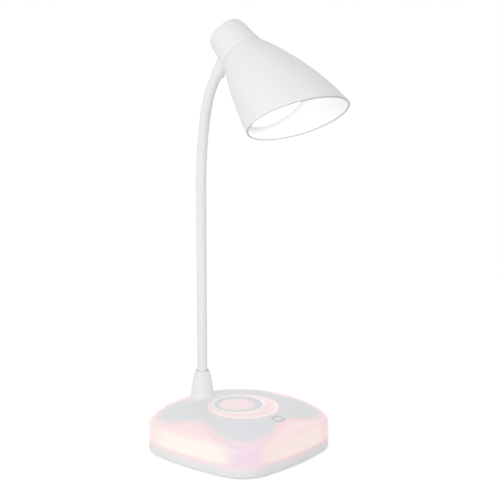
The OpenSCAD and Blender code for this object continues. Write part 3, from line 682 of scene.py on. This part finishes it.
def cover_grey():
    """Gloss cover: white at the neck's socket, grey elsewhere, tinted where the band's and the
    ring's light reaches past its edges."""
    material, tree, shader = new_material("cover_grey", coat=0.1, specular=0.4)
    outside = use(tree, LOBES).outputs["Outside"]
    from_neck = use(tree, REACH, Place=NECK_X).outputs["Distance"]
    from_ring = use(tree, REACH, Place=RING_X).outputs["Distance"]
    base = mix(tree, ramp(tree, from_neck, *TOWER_WHITE), COVER, SHELL)
    edge = ramp(tree, outside, *EDGE_SPILL)
    spill = ramp(tree, from_ring, *RING_SPILL)
    lit = calc(tree, "MAXIMUM", edge, spill)
    tree.links.new(tinted(tree, mix(tree, lit, base, PINK), *COVER_TINT), shader.inputs["Base Color"])
    tree.links.new(mix(tree, lit, BLACK, PINK), shader.inputs["Emission Color"])
    glow(material, shader, COVER_GLOW)
    vary_gloss(tree, shader, texture_noise(tree, COVER_PATCHES, 0.0), COVER_ROUGH)
    return material


def band_glow():
    """Milky band, lit from inside: cream along the sides, pink under the cover's edge and at
    two corners, lavender at the other two."""
    material, tree, shader = new_material("band_glow", coat=0.1)
    outside, corner, ahead, height = use(tree, LOBES).outputs
    side = mix(tree, ramp(tree, ahead, *FRONT_WARM), CREAM, PEACH)
    side = mix(tree, ramp(tree, height, *SIDE_TOP), side, ROSE)
    side = mix(tree, ramp(tree, height, *SIDE_FOOT), side, PINK)
    side = mix(tree, ramp(tree, outside, *UNDER_EDGE), side, PINK)
    rosy = mix(tree, ramp(tree, ahead, *FRONT_DEEP), ROSE, DEEP_PINK)
    near = calc(tree, "POWER", ramp(tree, corner, *ROSY_CORNERS), ROSY_POWER)
    colour = mix(tree, near, side, rosy)
    near = calc(tree, "POWER", ramp(tree, corner, *LAVENDER_CORNERS), LAVENDER_POWER)
    colour = mix(tree, near, colour, LAVENDER)
    light_up(material, tree, shader, tinted(tree, colour, *BAND_TINT))
    add_grain(tree, shader, *BAND_GRAIN)
    return material


def skirt_grey():
    """Bottom cover: grey, with light from the band on its upper edge."""
    material, tree, shader = new_material("skirt_grey", specular=0.3)
    edge = ramp(tree, use(tree, LOBES).outputs["Height"], *SKIRT_TOP)
    tree.links.new(tinted(tree, mix(tree, edge, SKIRT, PINK), *SKIRT_TINT), shader.inputs["Base Color"])
    tree.links.new(mix(tree, edge, BLACK, PINK), shader.inputs["Emission Color"])
    glow(material, shader, SKIRT_GLOW)
    add_grain(tree, shader, *SKIRT_GRAIN)
    return material


def ring_glow():
    """Lit ring: pink, in front brightest at its outer edge, with a painted highlight on the lip round the dish,
    brighter in front.
    """
    material, tree, shader = new_material("ring_glow", coat=0.1)
    from_dish = use(tree, REACH, Place=DISH_X).outputs["Distance"]
    from_ring = use(tree, REACH, Place=RING_X).outputs["Distance"]
    front = ramp(tree, point_xyz(tree)["X"], *FRONT_BRIGHT)
    bright = calc(tree, "MULTIPLY", ramp(tree, from_ring, *RING_SHINE), front)
    colour = mix(tree, bright, mix(tree, front, RING_BACK, RING_FRONT), RING_BRIGHT)
    # Painted highlight on the dish's lip: pale in front, greyer behind
    lip = ramp(tree, from_dish, *LIP_HIGHLIGHT_BAND)
    colour = mix(tree, lip, colour, mix(tree, front, LIP_HIGHLIGHT_BACK, LIP_HIGHLIGHT_FRONT))
    light_up(material, tree, shader, tinted(tree, colour, *RING_TINT))
    add_grain(tree, shader, *RING_GRAIN)
    return material


def lens_glow():
    """Lit lens, fading towards its edge."""
    material, tree, shader = new_material("lens_glow", coat=0.1)
    from_lens = use(tree, REACH, Place=LENS_X).outputs["Distance"]
    colour = mix(tree, ramp(tree, from_lens, *LENS_FADE), LENS_MIDDLE, LENS_RIM)
    light_up(material, tree, shader, tinted(tree, colour, *LENS_TINT))
    add_grain(tree, shader, *LENS_GRAIN)
    return material


def opal_lit():
    """Lit diffuser, with painted shade towards its rim."""
    material, tree, shader = new_material("opal_lit", specular=0.2)
    offset = vector_calc(tree, "SUBTRACT", a=point(tree), b=HEAD)
    aside = vector_calc(tree, "CROSS_PRODUCT", a=offset, b=SHADE_AXIS)
    # Painted shade at the rim, where the disc meets the bell's wall
    edge = ramp(tree, vector_calc(tree, "LENGTH", a=aside), DIFFUSER_R - OPAL_SHADE_FADE, DIFFUSER_R)
    colour = tinted(tree, mix(tree, edge, OPAL, OPAL_RIM_SHADE), *OPAL_TINT)
    tree.links.new(colour, shader.inputs["Base Color"])
    tree.links.new(colour, shader.inputs["Emission Color"])
    shader.inputs["Emission Strength"].default_value = OPAL_GLOW
    add_grain(tree, shader, *OPAL_GRAIN)
    return material


def make_materials():
    """Finishes by the name of the slot or of the piece that has them."""
    return {
        "bell_white": bell_white(),
        "cover_grey": cover_grey(),
        "band_glow": band_glow(),
        "ring_glow": ring_glow(),
        "lens_glow": lens_glow(),
        "skirt_grey": skirt_grey(),
        "lens_opal": opal_lit(),
        "shell_white": plain("satin_white", SHELL, SATIN_GRAIN, SATIN_TINT, specular=0.25),
        "sleeve_white": plain("sleeve_white", SHELL, SLEEVE_GRAIN, (0.015,), specular=0.3),
        "dish_grey": plain("dish_grey", srgb(230, 231, 233), DISH_GRAIN, (0.015,), coat=0.15),
        "mark_line": plain("mark_line", srgb(98, 100, 104), moulded(0.4, 0.5), (0.06,)),
        "pad_dark": plain("pad_dark", srgb(52, 52, 55), PAD_GRAIN, (0.15,)),
        "foam_dark": plain("foam_dark", srgb(66, 66, 70), FOAM_GRAIN, (0.2,)),
        "board_green": plain("board_green", srgb(24, 96, 58), moulded(0.3, 0.45), (0.12,), coat=0.2),
        "board_white": plain("board_white", srgb(236, 237, 236), moulded(0.3, 0.4), coat=0.2),
        "board_metal": plain("board_metal", srgb(226, 227, 228), moulded(0.3, 0.4), metallic=0.2),
        "led_yellow": plain("led_yellow", srgb(238, 216, 130), moulded(0.2, 0.3), (0.05,)),
        "cell_green": plain("cell_green", srgb(70, 150, 105), moulded(0.25, 0.35), (0.05,)),
        "cradle_white": plain("cradle_white", srgb(228, 228, 229), moulded(0.42, 0.5)),
        "steel": metal("steel", srgb(176, 178, 182), 0.3, 0.45),
        "zinc_screw": metal("zinc", srgb(196, 198, 202), 0.28, 0.4),
        "inlet_metal": metal("inlet_metal", srgb(205, 207, 210), 0.15, 0.25),
    }


MATERIALS = make_materials()


# ---------------------------------------------------------------- pieces

def dress(piece, material, body, slot, *nodes):
    """Gives a piece its finish, its body and the model's nodes that it stands for."""
    piece.data.materials.append(MATERIALS[material])
    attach(piece, body)
    if nodes:
        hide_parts(*nodes)
    return piece


def band_section(angle):
    """Section of the light band: up the outside, over the edge, in to the cover and back."""
    start = rim(angle, EDGE_R)
    slope = dome_slope(start)
    centre = dome(start) - EDGE_R / math.cos(slope)
    top = rim(angle, EDGE_R * (1 - math.sin(slope)))
    tip = lobe(angle)
    land = tip - LAND_W
    seat = SKIRT_Z + SKIRT_LAP + FIT
    points = [(rim(angle, BEVEL), SKIRT_Z), (rim(angle, 0), SKIRT_Z + BEVEL)]
    points += [(rim(angle, 0), z) for z in even_steps(SKIRT_Z, centre, 5)[1:-1]]
    points += [(rim(angle, EDGE_R * (1 - math.cos(u))), centre + EDGE_R * math.sin(u))
               for u in even_steps(0, math.pi / 2 - slope, 10)]
    points += [(r, dome(r)) for r in even_steps(top, tip, 10)[1:-1]]
    points += [(tip + BEVEL / 2, dome(tip)), (tip, dome(tip) - BEVEL / 2)]
    points += [(r, dome(r) - COVER_T - FIT) for r in (tip, land)]
    points += [(land, dome(land) - COVER_T - BAND_WALL)]
    points += [(rim(angle, 2 * BAND_WALL), dome(start) - 2 * BAND_WALL)]
    points += [(rim(angle, BAND_WALL), z) for z in (centre - EDGE_R, seat)]
    points += [(rim(angle, BAND_WALL / 2), z) for z in (seat, SKIRT_Z)]
    return points


def light_band():
    piece = polar_loft("milky_band", band_section, BASE_SIDES)
    return dress(piece, "band_glow", "base", "band_glow", "light_band")


def cover_section(angle):
    """Section of the cover's dome, from the ring's hole to the lobe's edge and back below."""
    hole = circle_reach(angle, RING_X, RING_R + FIT)
    tip = lobe(angle) - FIT
    points = [(hole, dome(hole) - COVER_EDGE)]
    points += [(r, dome(r)) for r in even_steps(hole + COVER_EDGE, tip - COVER_EDGE, COVER_STEPS)]
    points += [(tip, dome(tip) - COVER_EDGE)]
    points += [(r, dome(r) - COVER_T) for r in even_steps(tip, hole, COVER_STEPS)]
    return points


def top_cover():
    piece = polar_loft("domed_cover", cover_section, BASE_SIDES)
    return dress(piece, "cover_grey", "base", "cover_grey", "top_cover")


def socket_section(angle):
    """Section of the neck's socket: a curve that leaves the dome smoothly, a cone and the bore."""
    def over(d):
        return dome(math.hypot(NECK_X + d * math.cos(angle), d * math.sin(angle)))

    def cone(z):
        return SOCKET_R + SOCKET_SLOPE * (SOCKET_TOP - z)

    step = 0.5 * MM
    slope = (over(SOCKET_FOOT + step) - over(SOCKET_FOOT - step)) / (2 * step)
    foot = Vector((SOCKET_FOOT, over(SOCKET_FOOT) + FOOT_RISE))
    low = foot - FOOT_PULL * Vector((1, slope))
    neck = Vector((cone(FLARE_Z), FLARE_Z))
    high = neck + FLARE_PULL * Vector((SOCKET_SLOPE, -1))
    under = foot.y - SOCKET_SUNK
    fitted = SLEEVE_R + FIT
    bore = SLEEVE_R + SOCKET_PLAY
    points = [(SOCKET_FOOT - MM, under), (SOCKET_FOOT, foot.y - SOCKET_HEM)]
    for t in even_steps(0, 1, FLARE_STEPS):
        p = (1 - t) ** 3 * foot + 3 * (1 - t) ** 2 * t * low + 3 * (1 - t) * t * t * high + t ** 3 * neck
        points.append((p.x, p.y))
    points += [(cone(z), z) for z in (55 * MM, 60 * MM)]
    points += arc((cone(SOCKET_TOP) - SOCKET_LIP, SOCKET_TOP - SOCKET_LIP), SOCKET_LIP, 0, 90, 6)
    points += arc((bore + BEVEL, SOCKET_TOP - BEVEL), BEVEL, 90, 180, 4)
    points += [(r, SOCKET_TOP - SOCKET_RECESS) for r in (bore, fitted)]
    points += [(fitted, z) for z in (FLARE_Z, under)]
    return points


def neck_socket():
    piece = polar_loft("neck_tower", socket_section, SOCKET_SIDES, centre=NECK_X)
    return dress(piece, "cover_grey", "base", "cover_grey", "neck_socket")


def ring_section(angle):
    """Section of the colour ring round the dish's centre: outer edge, crown, lip, wall."""
    def height(r):
        return dome(math.hypot(DISH_X + r * math.cos(angle), r * math.sin(angle)))

    outer = circle_reach(angle, RING_X - DISH_X, RING_R)
    inner = DISH_R + FIT
    flat = inner + LIP_W + RING_FLAT
    top = dome(DISH_R) + LIP_H
    points = [(outer, height(outer) - RING_EDGE), (outer, height(outer) - RING_SEAM)]
    for r in even_steps(outer - BEVEL, flat, DISH_STEPS):
        points.append((r, height(r) + RING_CROWN * min(1, (outer - r) / RING_CROWN_W)))
    points += [(inner + LIP_W + DISH_SOFT, top - STEP_H), (inner + LIP_W - DISH_SOFT, top)]
    points += [(inner + BEVEL, top), (inner, top - BEVEL), (inner, top - RING_WALL)]
    return points


def color_ring():
    piece = polar_loft("lit_ring", ring_section, DISH_SIDES, centre=DISH_X)
    return dress(piece, "ring_glow", "base", "ring_glow", "color_ring")


def dish_section(angle):
    """Section of the bowl between its rim and the eccentric lens."""
    inner = circle_reach(angle, LENS_X - DISH_X, LENS_R + FIT)
    outer = DISH_R - DISH_SOFT
    top = dome(DISH_R) + LIP_H - STEP_H
    points = [(DISH_R, top - DISH_WALL), (DISH_R, top - DISH_SOFT)]
    for t in even_steps(0, 1, DISH_STEPS):
        points.append((outer + (inner - outer) * t, top - DISH_DEPTH * (t * t * (3 - 2 * t))))
    points.append((inner, top - DISH_WALL))
    return points


def touch_dish():
    piece = polar_loft("dish_bowl", dish_section, DISH_SIDES, centre=DISH_X)
    return dress(piece, "dish_grey", "base", "dish_grey", "touch_dish")


def center_lens():
    """Lens in the dish: a wall and a low crown, closed at both ends."""
    floor = dome(DISH_R) + LIP_H - DISH_DEPTH
    seam = floor - STEP_H
    profile = [(LENS_R, floor - LENS_EDGE), (LENS_R, floor - BEVEL)]
    profile += [(LENS_R * math.cos(a), seam + LENS_RISE * math.sin(a))
                for a in even_steps(0, TAU / 4, 9)[1:-1]]
    profile.append((LENS_TIP * LENS_R, seam + LENS_RISE))
    piece = lathe("dish_lens", profile, LENS_SIDES, Matrix.Translation((LENS_X, 0, 0)), closed=False)
    return dress(piece, "lens_glow", "base", "ring_glow", "center_lens")


def touch_mark():
    """Outline of a rounded square, printed on the cover in front of the dish."""
    reach = KEY_SIDE / 2 - KEY_CORNER

    def ring(grow, lift):
        points = []
        for k, (sx, sy) in enumerate(((1, 1), (-1, 1), (-1, -1), (1, -1))):
            centre = (KEY_X + sx * reach, KEY_Y + sy * reach)
            points += arc(centre, KEY_CORNER + grow, 90 * k, 90 * k + 90, 8)
        return [(x, y, dome(math.hypot(x, y)) + lift) for x, y in points]

    line = KEY_LINE / 2
    corners = ((-line, -PRINT_H), (-line, PRINT_H), (line, PRINT_H), (line, -PRINT_H))
    piece = loft("touch_mark", [ring(grow, lift) for grow, lift in corners])
    return dress(piece, "mark_line", "base", "cover_grey")


# Neck: the joints' places give the links, and each link's turn follows from its chord
NECK_JOINTS = [j for name, j in JOINTS.items() if name.startswith(("neck_bend", "neck_sway"))]
NECK_JOINTS.sort(key=lambda j: j["pos_m"][2])
NECK_POINTS = [Vector(j["pos_m"]) for j in NECK_JOINTS]
LINK_L = (NECK_POINTS[1] - NECK_POINTS[0]).length
STRAIGHT = 1e-6


def link_leans():
    """Lean of the neck at each joint and at its upper end."""
    leans = [0.0]
    for low, high in zip(NECK_POINTS, NECK_POINTS[1:]):
        chord = math.atan2(high.x - low.x, high.z - low.z)
        leans.append(2 * chord - leans[-1])
    leans.append(leans[-1] + TOP_TURN)
    return leans


LEANS = link_leans()


def neck_place(s):
    """Point on the neck's centre line, at the length s from the first joint."""
    k = min(max(int(s // LINK_L), 0), len(NECK_POINTS) - 1)
    t = s - k * LINK_L
    turn = LEANS[k + 1] - LEANS[k] if s >= 0 else 0.0
    inside = min(t, LINK_L)
    lean = LEANS[k] + turn * inside / LINK_L
    if abs(turn) < STRAIGHT:
        step = Vector((math.sin(LEANS[k]), 0, math.cos(LEANS[k]))) * inside
    else:
        radius = LINK_L / turn
        step = radius * Vector((math.cos(LEANS[k]) - math.cos(lean), 0, math.sin(lean) - math.sin(LEANS[k])))
    along = Vector((math.sin(lean), 0, math.cos(lean)))
    return NECK_POINTS[k] + step + along * (t - inside)


def sleeve_tree():
    """Tube with a wall along a path of edges."""
    tree = bpy.data.node_groups.new("sleeve_on_path", "GeometryNodeTree")
    inputs = {"Path": "Geometry", "Radius": "Float", "Wall": "Float", "Sides": "Int", "Finish": "Material"}
    for label, kind in inputs.items():
        tree.interface.new_socket(name=label, in_out="INPUT", socket_type="NodeSocket" + kind)
    tree.interface.new_socket(name="Sleeve", in_out="OUTPUT", socket_type="NodeSocketGeometry")
    kinds = dict(start="NodeGroupInput", end="NodeGroupOutput", path="GeometryNodeMeshToCurve",
                 circle="GeometryNodeCurvePrimitiveCircle", tube="GeometryNodeCurveToMesh",
                 outside="GeometryNodeExtrudeMesh", inside="GeometryNodeFlipFaces",
                 both="GeometryNodeJoinGeometry", weld="GeometryNodeMergeByDistance",
                 real="GeometryNodeRealizeInstances", finish="GeometryNodeSetMaterial")
    n = {label: tree.nodes.new(kind) for label, kind in kinds.items()}
    n["outside"].inputs["Individual"].default_value = False
    n["weld"].inputs["Distance"].default_value = SLEEVE_WELD
    given = n["start"].outputs
    bore = calc(tree, "SUBTRACT", given["Radius"], given["Wall"])
    for value, socket in (
            (given["Path"], n["path"].inputs["Mesh"]),
            (given["Sides"], n["circle"].inputs["Resolution"]),
            (bore, n["circle"].inputs["Radius"]),
            (n["path"].outputs["Curve"], n["tube"].inputs["Curve"]),
            (n["circle"].outputs["Curve"], n["tube"].inputs["Profile Curve"]),
            (n["tube"].outputs["Mesh"], n["outside"].inputs["Mesh"]),
            (given["Wall"], n["outside"].inputs["Offset Scale"]),
            (n["tube"].outputs["Mesh"], n["inside"].inputs["Mesh"]),
            (n["outside"].outputs["Mesh"], n["both"].inputs["Geometry"]),
            (n["inside"].outputs["Mesh"], n["both"].inputs["Geometry"]),
            (n["both"].outputs["Geometry"], n["weld"].inputs["Geometry"]),
            (n["weld"].outputs["Geometry"], n["real"].inputs["Geometry"]),
            (n["real"].outputs["Geometry"], n["finish"].inputs["Geometry"]),
            (given["Finish"], n["finish"].inputs["Material"]),
            (n["finish"].outputs["Geometry"], n["end"].inputs["Sleeve"])):
        tree.links.new(value, socket)
    return tree


def grow(name, tree, points, **values):
    """Piece with the plain mesh and the finish that a tree makes of a path of points."""
    path = bpy.data.meshes.new(name + "_path")
    path.from_pydata(points, [(k, k + 1) for k in range(len(points) - 1)], [])
    carrier = bpy.data.objects.new(name + "_path", path)
    bpy.context.scene.collection.objects.link(carrier)
    modifier = carrier.modifiers.new(name, "NODES")
    modifier.node_group = tree
    sockets = {item.name: item.identifier for item in tree.interface.items_tree if item.in_out == "INPUT"}
    for label, value in values.items():
        modifier[sockets[label]] = value
    evaluated = bpy.context.evaluated_depsgraph_get()
    mesh = bpy.data.meshes.new_from_object(carrier.evaluated_get(evaluated), depsgraph=evaluated)
    bpy.data.objects.remove(carrier)
    bm = bmesh.new()
    bm.from_mesh(mesh)
    piece = finish_mesh(name, bm)
    for material in mesh.materials:
        piece.data.materials.append(material)
    return piece


def sleeve_piece(k, tree):
    """Stretch of the sleeve across joint k, from the middle of one link to that of the next."""
    last = k == len(NECK_JOINTS) - 1
    start = -SLEEVE_DEPTH if k == 0 else (k - 0.5) * LINK_L
    end = (k + 1) * LINK_L + 0.9 * FERRULE_BORE if last else (k + 0.5) * LINK_L
    points = [neck_place(s) for s in even_steps(start, end, SLEEVE_STEPS)]
    piece = grow(f"sleeve_{k + 1:02d}", tree, points, Radius=SLEEVE_R, Wall=SLEEVE_WALL,
                 Sides=SLEEVE_SIDES, Finish=MATERIALS["sleeve_white"])
    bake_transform(piece)
    nodes = ["sleeve_root", "sleeve_1"] if k == 0 else ["sleeve_top" if last else f"sleeve_{k + 1}"]
    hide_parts(*nodes)
    return piece


def neck_sleeve():
    tree = sleeve_tree()
    for k in range(len(NECK_JOINTS)):
        sleeve_piece(k, tree)


def rear_cap():
    """Cap behind the bell: a rounded end, a slight taper and a soft lip over the crease."""
    taper = (CREASE_R - CAP_REAR_R) / CAP_L
    front = -CREASE_GAP
    inside = -CAP_L + CAP_T
    bore = CREASE_R - CAP_WALL
    profile = arc((CREASE_R + CAP_FLARE - CAP_LIP, front - CAP_LIP), CAP_LIP, 90, 0, 8)
    profile += [(CREASE_R + taper * z, z) for z in even_steps(0, -CAP_L, 8)[1:-2]]
    profile += arc((CAP_REAR_R - CAP_ROUND, -CAP_L + CAP_ROUND), CAP_ROUND, 0, -90, 12)
    profile += [(CAP_FLAT_R, -CAP_L), (CAP_HOLE_R, -CAP_L), (CAP_HOLE_R, inside), (CAP_FLAT_R, inside)]
    profile += [(CAP_REAR_R - CAP_T - 2 * MM, inside + 0.5 * MM), (CAP_REAR_R - CAP_T, -CAP_L + CAP_ROUND)]
    profile += [(bore, CAP_SEAT_Z), (bore, front)]
    piece = lathe("head_cap", profile, HEAD_SIDES, head_place())
    return dress(piece, "shell_white", "head", "shell_white", "rear_cap")


def mouth_height(angle):
    """Where the bell ends at an angle from its longest lip."""
    z = MOUTH_Z
    for _ in range(12):
        z = MOUTH_Z + bell_out(z) * math.cos(angle) * math.tan(MOUTH_TILT)
    return z


def bell_section(angle):
    """Section of the bell: outside from the crease to the mouth, a round lip, and inside."""
    half = BELL_T / 2
    edge = mouth_height(angle) - half
    middle = (bell_out(edge) + bell_in(edge)) / 2
    thick = (bell_out(edge) - bell_in(edge)) / 2
    points = [(CREASE_R - BELL_SEAT, 0.0), (CREASE_R - BELL_SOFT, 0.0), (CREASE_R, BELL_START)]
    points += [(bell_out(z), z) for z in even_steps(BELL_EDGE, edge, BELL_STEPS)]
    points += [(middle + thick * math.cos(a), edge + half * math.sin(a))
               for a in even_steps(0, math.pi, 8)[1:-1]]
    points += [(bell_in(z), z) for z in even_steps(edge, SPIGOT_Z, BELL_STEPS)]
    points += [(SPIGOT_IN, SPIGOT_Z), (SPIGOT_IN, 0.1 * MM)]
    return points


def shade_bell():
    piece = polar_loft("bell_shade", bell_section, BELL_SIDES, place=head_place(SHADE_TURN))
    return dress(piece, "bell_white", "shade", "shell_white", "shade_bell")


def diffuser():
    """Lit disc in the bell: a short rim and a crown with a wall."""
    rim_z = DIFFUSER_Z + DIFFUSER_RIM
    tip = DIFFUSER_TIP * DIFFUSER_R

    def crown(shrink):
        radius, rise = DIFFUSER_R - shrink, DIFFUSER_RISE - shrink
        points = [(radius * math.cos(a), rim_z + rise * math.sin(a))
                  for a in even_steps(0, TAU / 4, DIFFUSER_STEPS)[:-1]]
        return points + [(tip, rim_z + rise)]

    profile = [(DIFFUSER_R, DIFFUSER_Z)] + crown(0.0)
    profile += crown(DIFFUSER_T)[::-1] + [(DIFFUSER_R - DIFFUSER_T, DIFFUSER_Z)]
    piece = lathe("opal_diffuser", profile, HEAD_SIDES, head_place(SHADE_TURN))
    return dress(piece, "lens_opal", "shade", "lens_opal", "diffuser")


# ---------------------------------------------------------------- model's own nodes

def clean_facets():
    """Tree that welds a node's triangles and shades it smoothly between its sharp edges."""
    tree = bpy.data.node_groups.new("clean_facets", "GeometryNodeTree")
    tree.interface.new_socket(name="Geometry", in_out="INPUT", socket_type="NodeSocketGeometry")
    tree.interface.new_socket(name="Geometry", in_out="OUTPUT", socket_type="NodeSocketGeometry")
    kinds = dict(start="NodeGroupInput", end="NodeGroupOutput", weld="GeometryNodeMergeByDistance",
                 smooth="GeometryNodeSetShadeSmooth", crease="GeometryNodeSetShadeSmooth",
                 angle="GeometryNodeInputMeshEdgeAngle", limit="FunctionNodeCompare")
    n = {label: tree.nodes.new(kind) for label, kind in kinds.items()}
    n["weld"].inputs["Distance"].default_value = FACET_WELD
    n["smooth"].inputs["Shade Smooth"].default_value = True
    n["crease"].domain = "EDGE"
    n["crease"].inputs["Shade Smooth"].default_value = False
    n["limit"].operation = "GREATER_THAN"
    n["limit"].inputs[1].default_value = FACET_SHARP
    tree.links.new(n["angle"].outputs["Unsigned Angle"], n["limit"].inputs[0])
    tree.links.new(n["limit"].outputs[0], n["crease"].inputs["Selection"])
    chain = [n[label] for label in ("start", "weld", "smooth", "crease", "end")]
    for first, second in zip(chain, chain[1:]):
        tree.links.new(first.outputs[0], second.inputs[0])
    return tree


def finish_nodes():
    """Gives each of the model's nodes its finish, and cleans the ones that show."""
    slots = {s["node"]: s["material_slot"] for s in frame["record"]["subparts"]}
    special = {"bottom_cover": "skirt_grey", "center_lens": "lens_glow"}
    tree = clean_facets()
    for name, node in frame["nodes"].items():
        node.data.materials.clear()
        node.data.materials.append(MATERIALS[special.get(name, slots[name])])
        if not node.hide_render:
            modifier = node.modifiers.new("clean_facets", "NODES")
            modifier.node_group = tree


# ---------------------------------------------------------------- stage

WORLD_LEVEL = 0.68
AIM = Vector((0, 0, 180 * MM))
FLOOR_REACH = 3.0
FLOOR_Z = -0.02 * MM
FLOOR_ROUGH = 0.9
FLOOR_LIGHT = 0.66
FLOOR_COLOUR = (0.8, 0.8, 0.8, 1)
FLOOR_SEEN = (0.5, 0.5, 0.5, 1)
WHITE = (1, 1, 1, 1)


def away(azimuth, elevation):
    """Direction from the lamp to a viewpoint. The view from azimuth 0 is along +Y."""
    flat = math.cos(elevation)
    return Vector((math.sin(azimuth) * flat, -math.cos(azimuth) * flat, math.sin(elevation)))


def make_camera():
    right = Vector((math.cos(CAMERA_AZIMUTH), math.sin(CAMERA_AZIMUTH), 0))
    back = away(CAMERA_AZIMUTH, CAMERA_ELEVATION)
    up = back.cross(right)
    camera = bpy.data.objects.new("camera", bpy.data.cameras.new("camera"))
    camera.data.sensor_width = SENSOR
    camera.data.lens = SENSOR * FOCAL_PX / IMAGE_PX
    camera.data.clip_end = CAMERA_END
    place = Matrix((right, up, back)).transposed().to_4x4()
    place.translation = right * CAMERA_SIDE + up * CAMERA_UP + back * CAMERA_DISTANCE
    camera.matrix_world = place
    bpy.context.scene.collection.objects.link(camera)
    bpy.context.scene.camera = camera


def make_lamp(name, side, height, distance, size, power):
    """Area lamp aimed at the lamp's middle, placed by its angle from the camera's view and its
    height above the table's plane, in degrees."""
    toward = away(CAMERA_AZIMUTH + math.radians(side), math.radians(height))
    light = bpy.data.lights.new(name, "AREA")
    light.shape = "DISK"
    light.size = size
    light.energy = power
    lamp = bpy.data.objects.new(name, light)
    turn = toward.to_track_quat("Z", "Y").to_matrix().to_4x4()
    lamp.matrix_world = Matrix.Translation(AIM + toward * distance) @ turn
    bpy.context.scene.collection.objects.link(lamp)


def seen_rays(tree):
    """1 for what the camera sees, directly, in a reflection or through glass."""
    path = tree.nodes.new("ShaderNodeLightPath")
    seen = calc(tree, "MAXIMUM", path.outputs["Is Camera Ray"], path.outputs["Is Glossy Ray"])
    return calc(tree, "MAXIMUM", seen, path.outputs["Is Transmission Ray"])


def make_world():
    """White studio: plain light on the object, pure white where the camera looks past it."""
    world = bpy.data.worlds.new("studio")
    world.use_nodes = True
    tree = world.node_tree
    background = tree.nodes["Background"]
    strength = calc(tree, "MULTIPLY_ADD", seen_rays(tree), 1 - WORLD_LEVEL, WORLD_LEVEL)
    background.inputs["Color"].default_value = WHITE
    tree.links.new(strength, background.inputs["Strength"])
    bpy.context.scene.world = world


def make_floor():
    """White table that keeps a faint shadow."""
    bm = bmesh.new()
    corners = [(x * FLOOR_REACH, y * FLOOR_REACH, FLOOR_Z) for x, y in ((-1, -1), (1, -1), (1, 1), (-1, 1))]
    bm.faces.new([bm.verts.new(corner) for corner in corners])
    floor = finish_mesh("floor", bm)
    if floor.data.polygons[0].normal.z < 0:
        floor.data.flip_normals()
    material, tree, shader = new_material("floor_white", specular=0.0)
    shader.inputs["Roughness"].default_value = FLOOR_ROUGH
    seen = seen_rays(tree)
    tree.links.new(mix(tree, seen, FLOOR_COLOUR, FLOOR_SEEN), shader.inputs["Base Color"])
    shader.inputs["Emission Color"].default_value = WHITE
    tree.links.new(calc(tree, "MULTIPLY", seen, FLOOR_LIGHT), shader.inputs["Emission Strength"])
    floor.data.materials.append(material)


def make_stage():
    make_world()
    make_lamp("key", side=-30, height=20, distance=1.5, size=0.55, power=6.2)
    make_lamp("fill", side=60, height=8, distance=1.8, size=1.2, power=2.2)
    make_floor()
    bpy.context.scene.view_settings.view_transform = "Standard"


make_camera()
light_band()
top_cover()
neck_socket()
color_ring()
touch_dish()
center_lens()
touch_mark()
neck_sleeve()
rear_cap()
shade_bell()
diffuser()
finish_nodes()
make_stage()
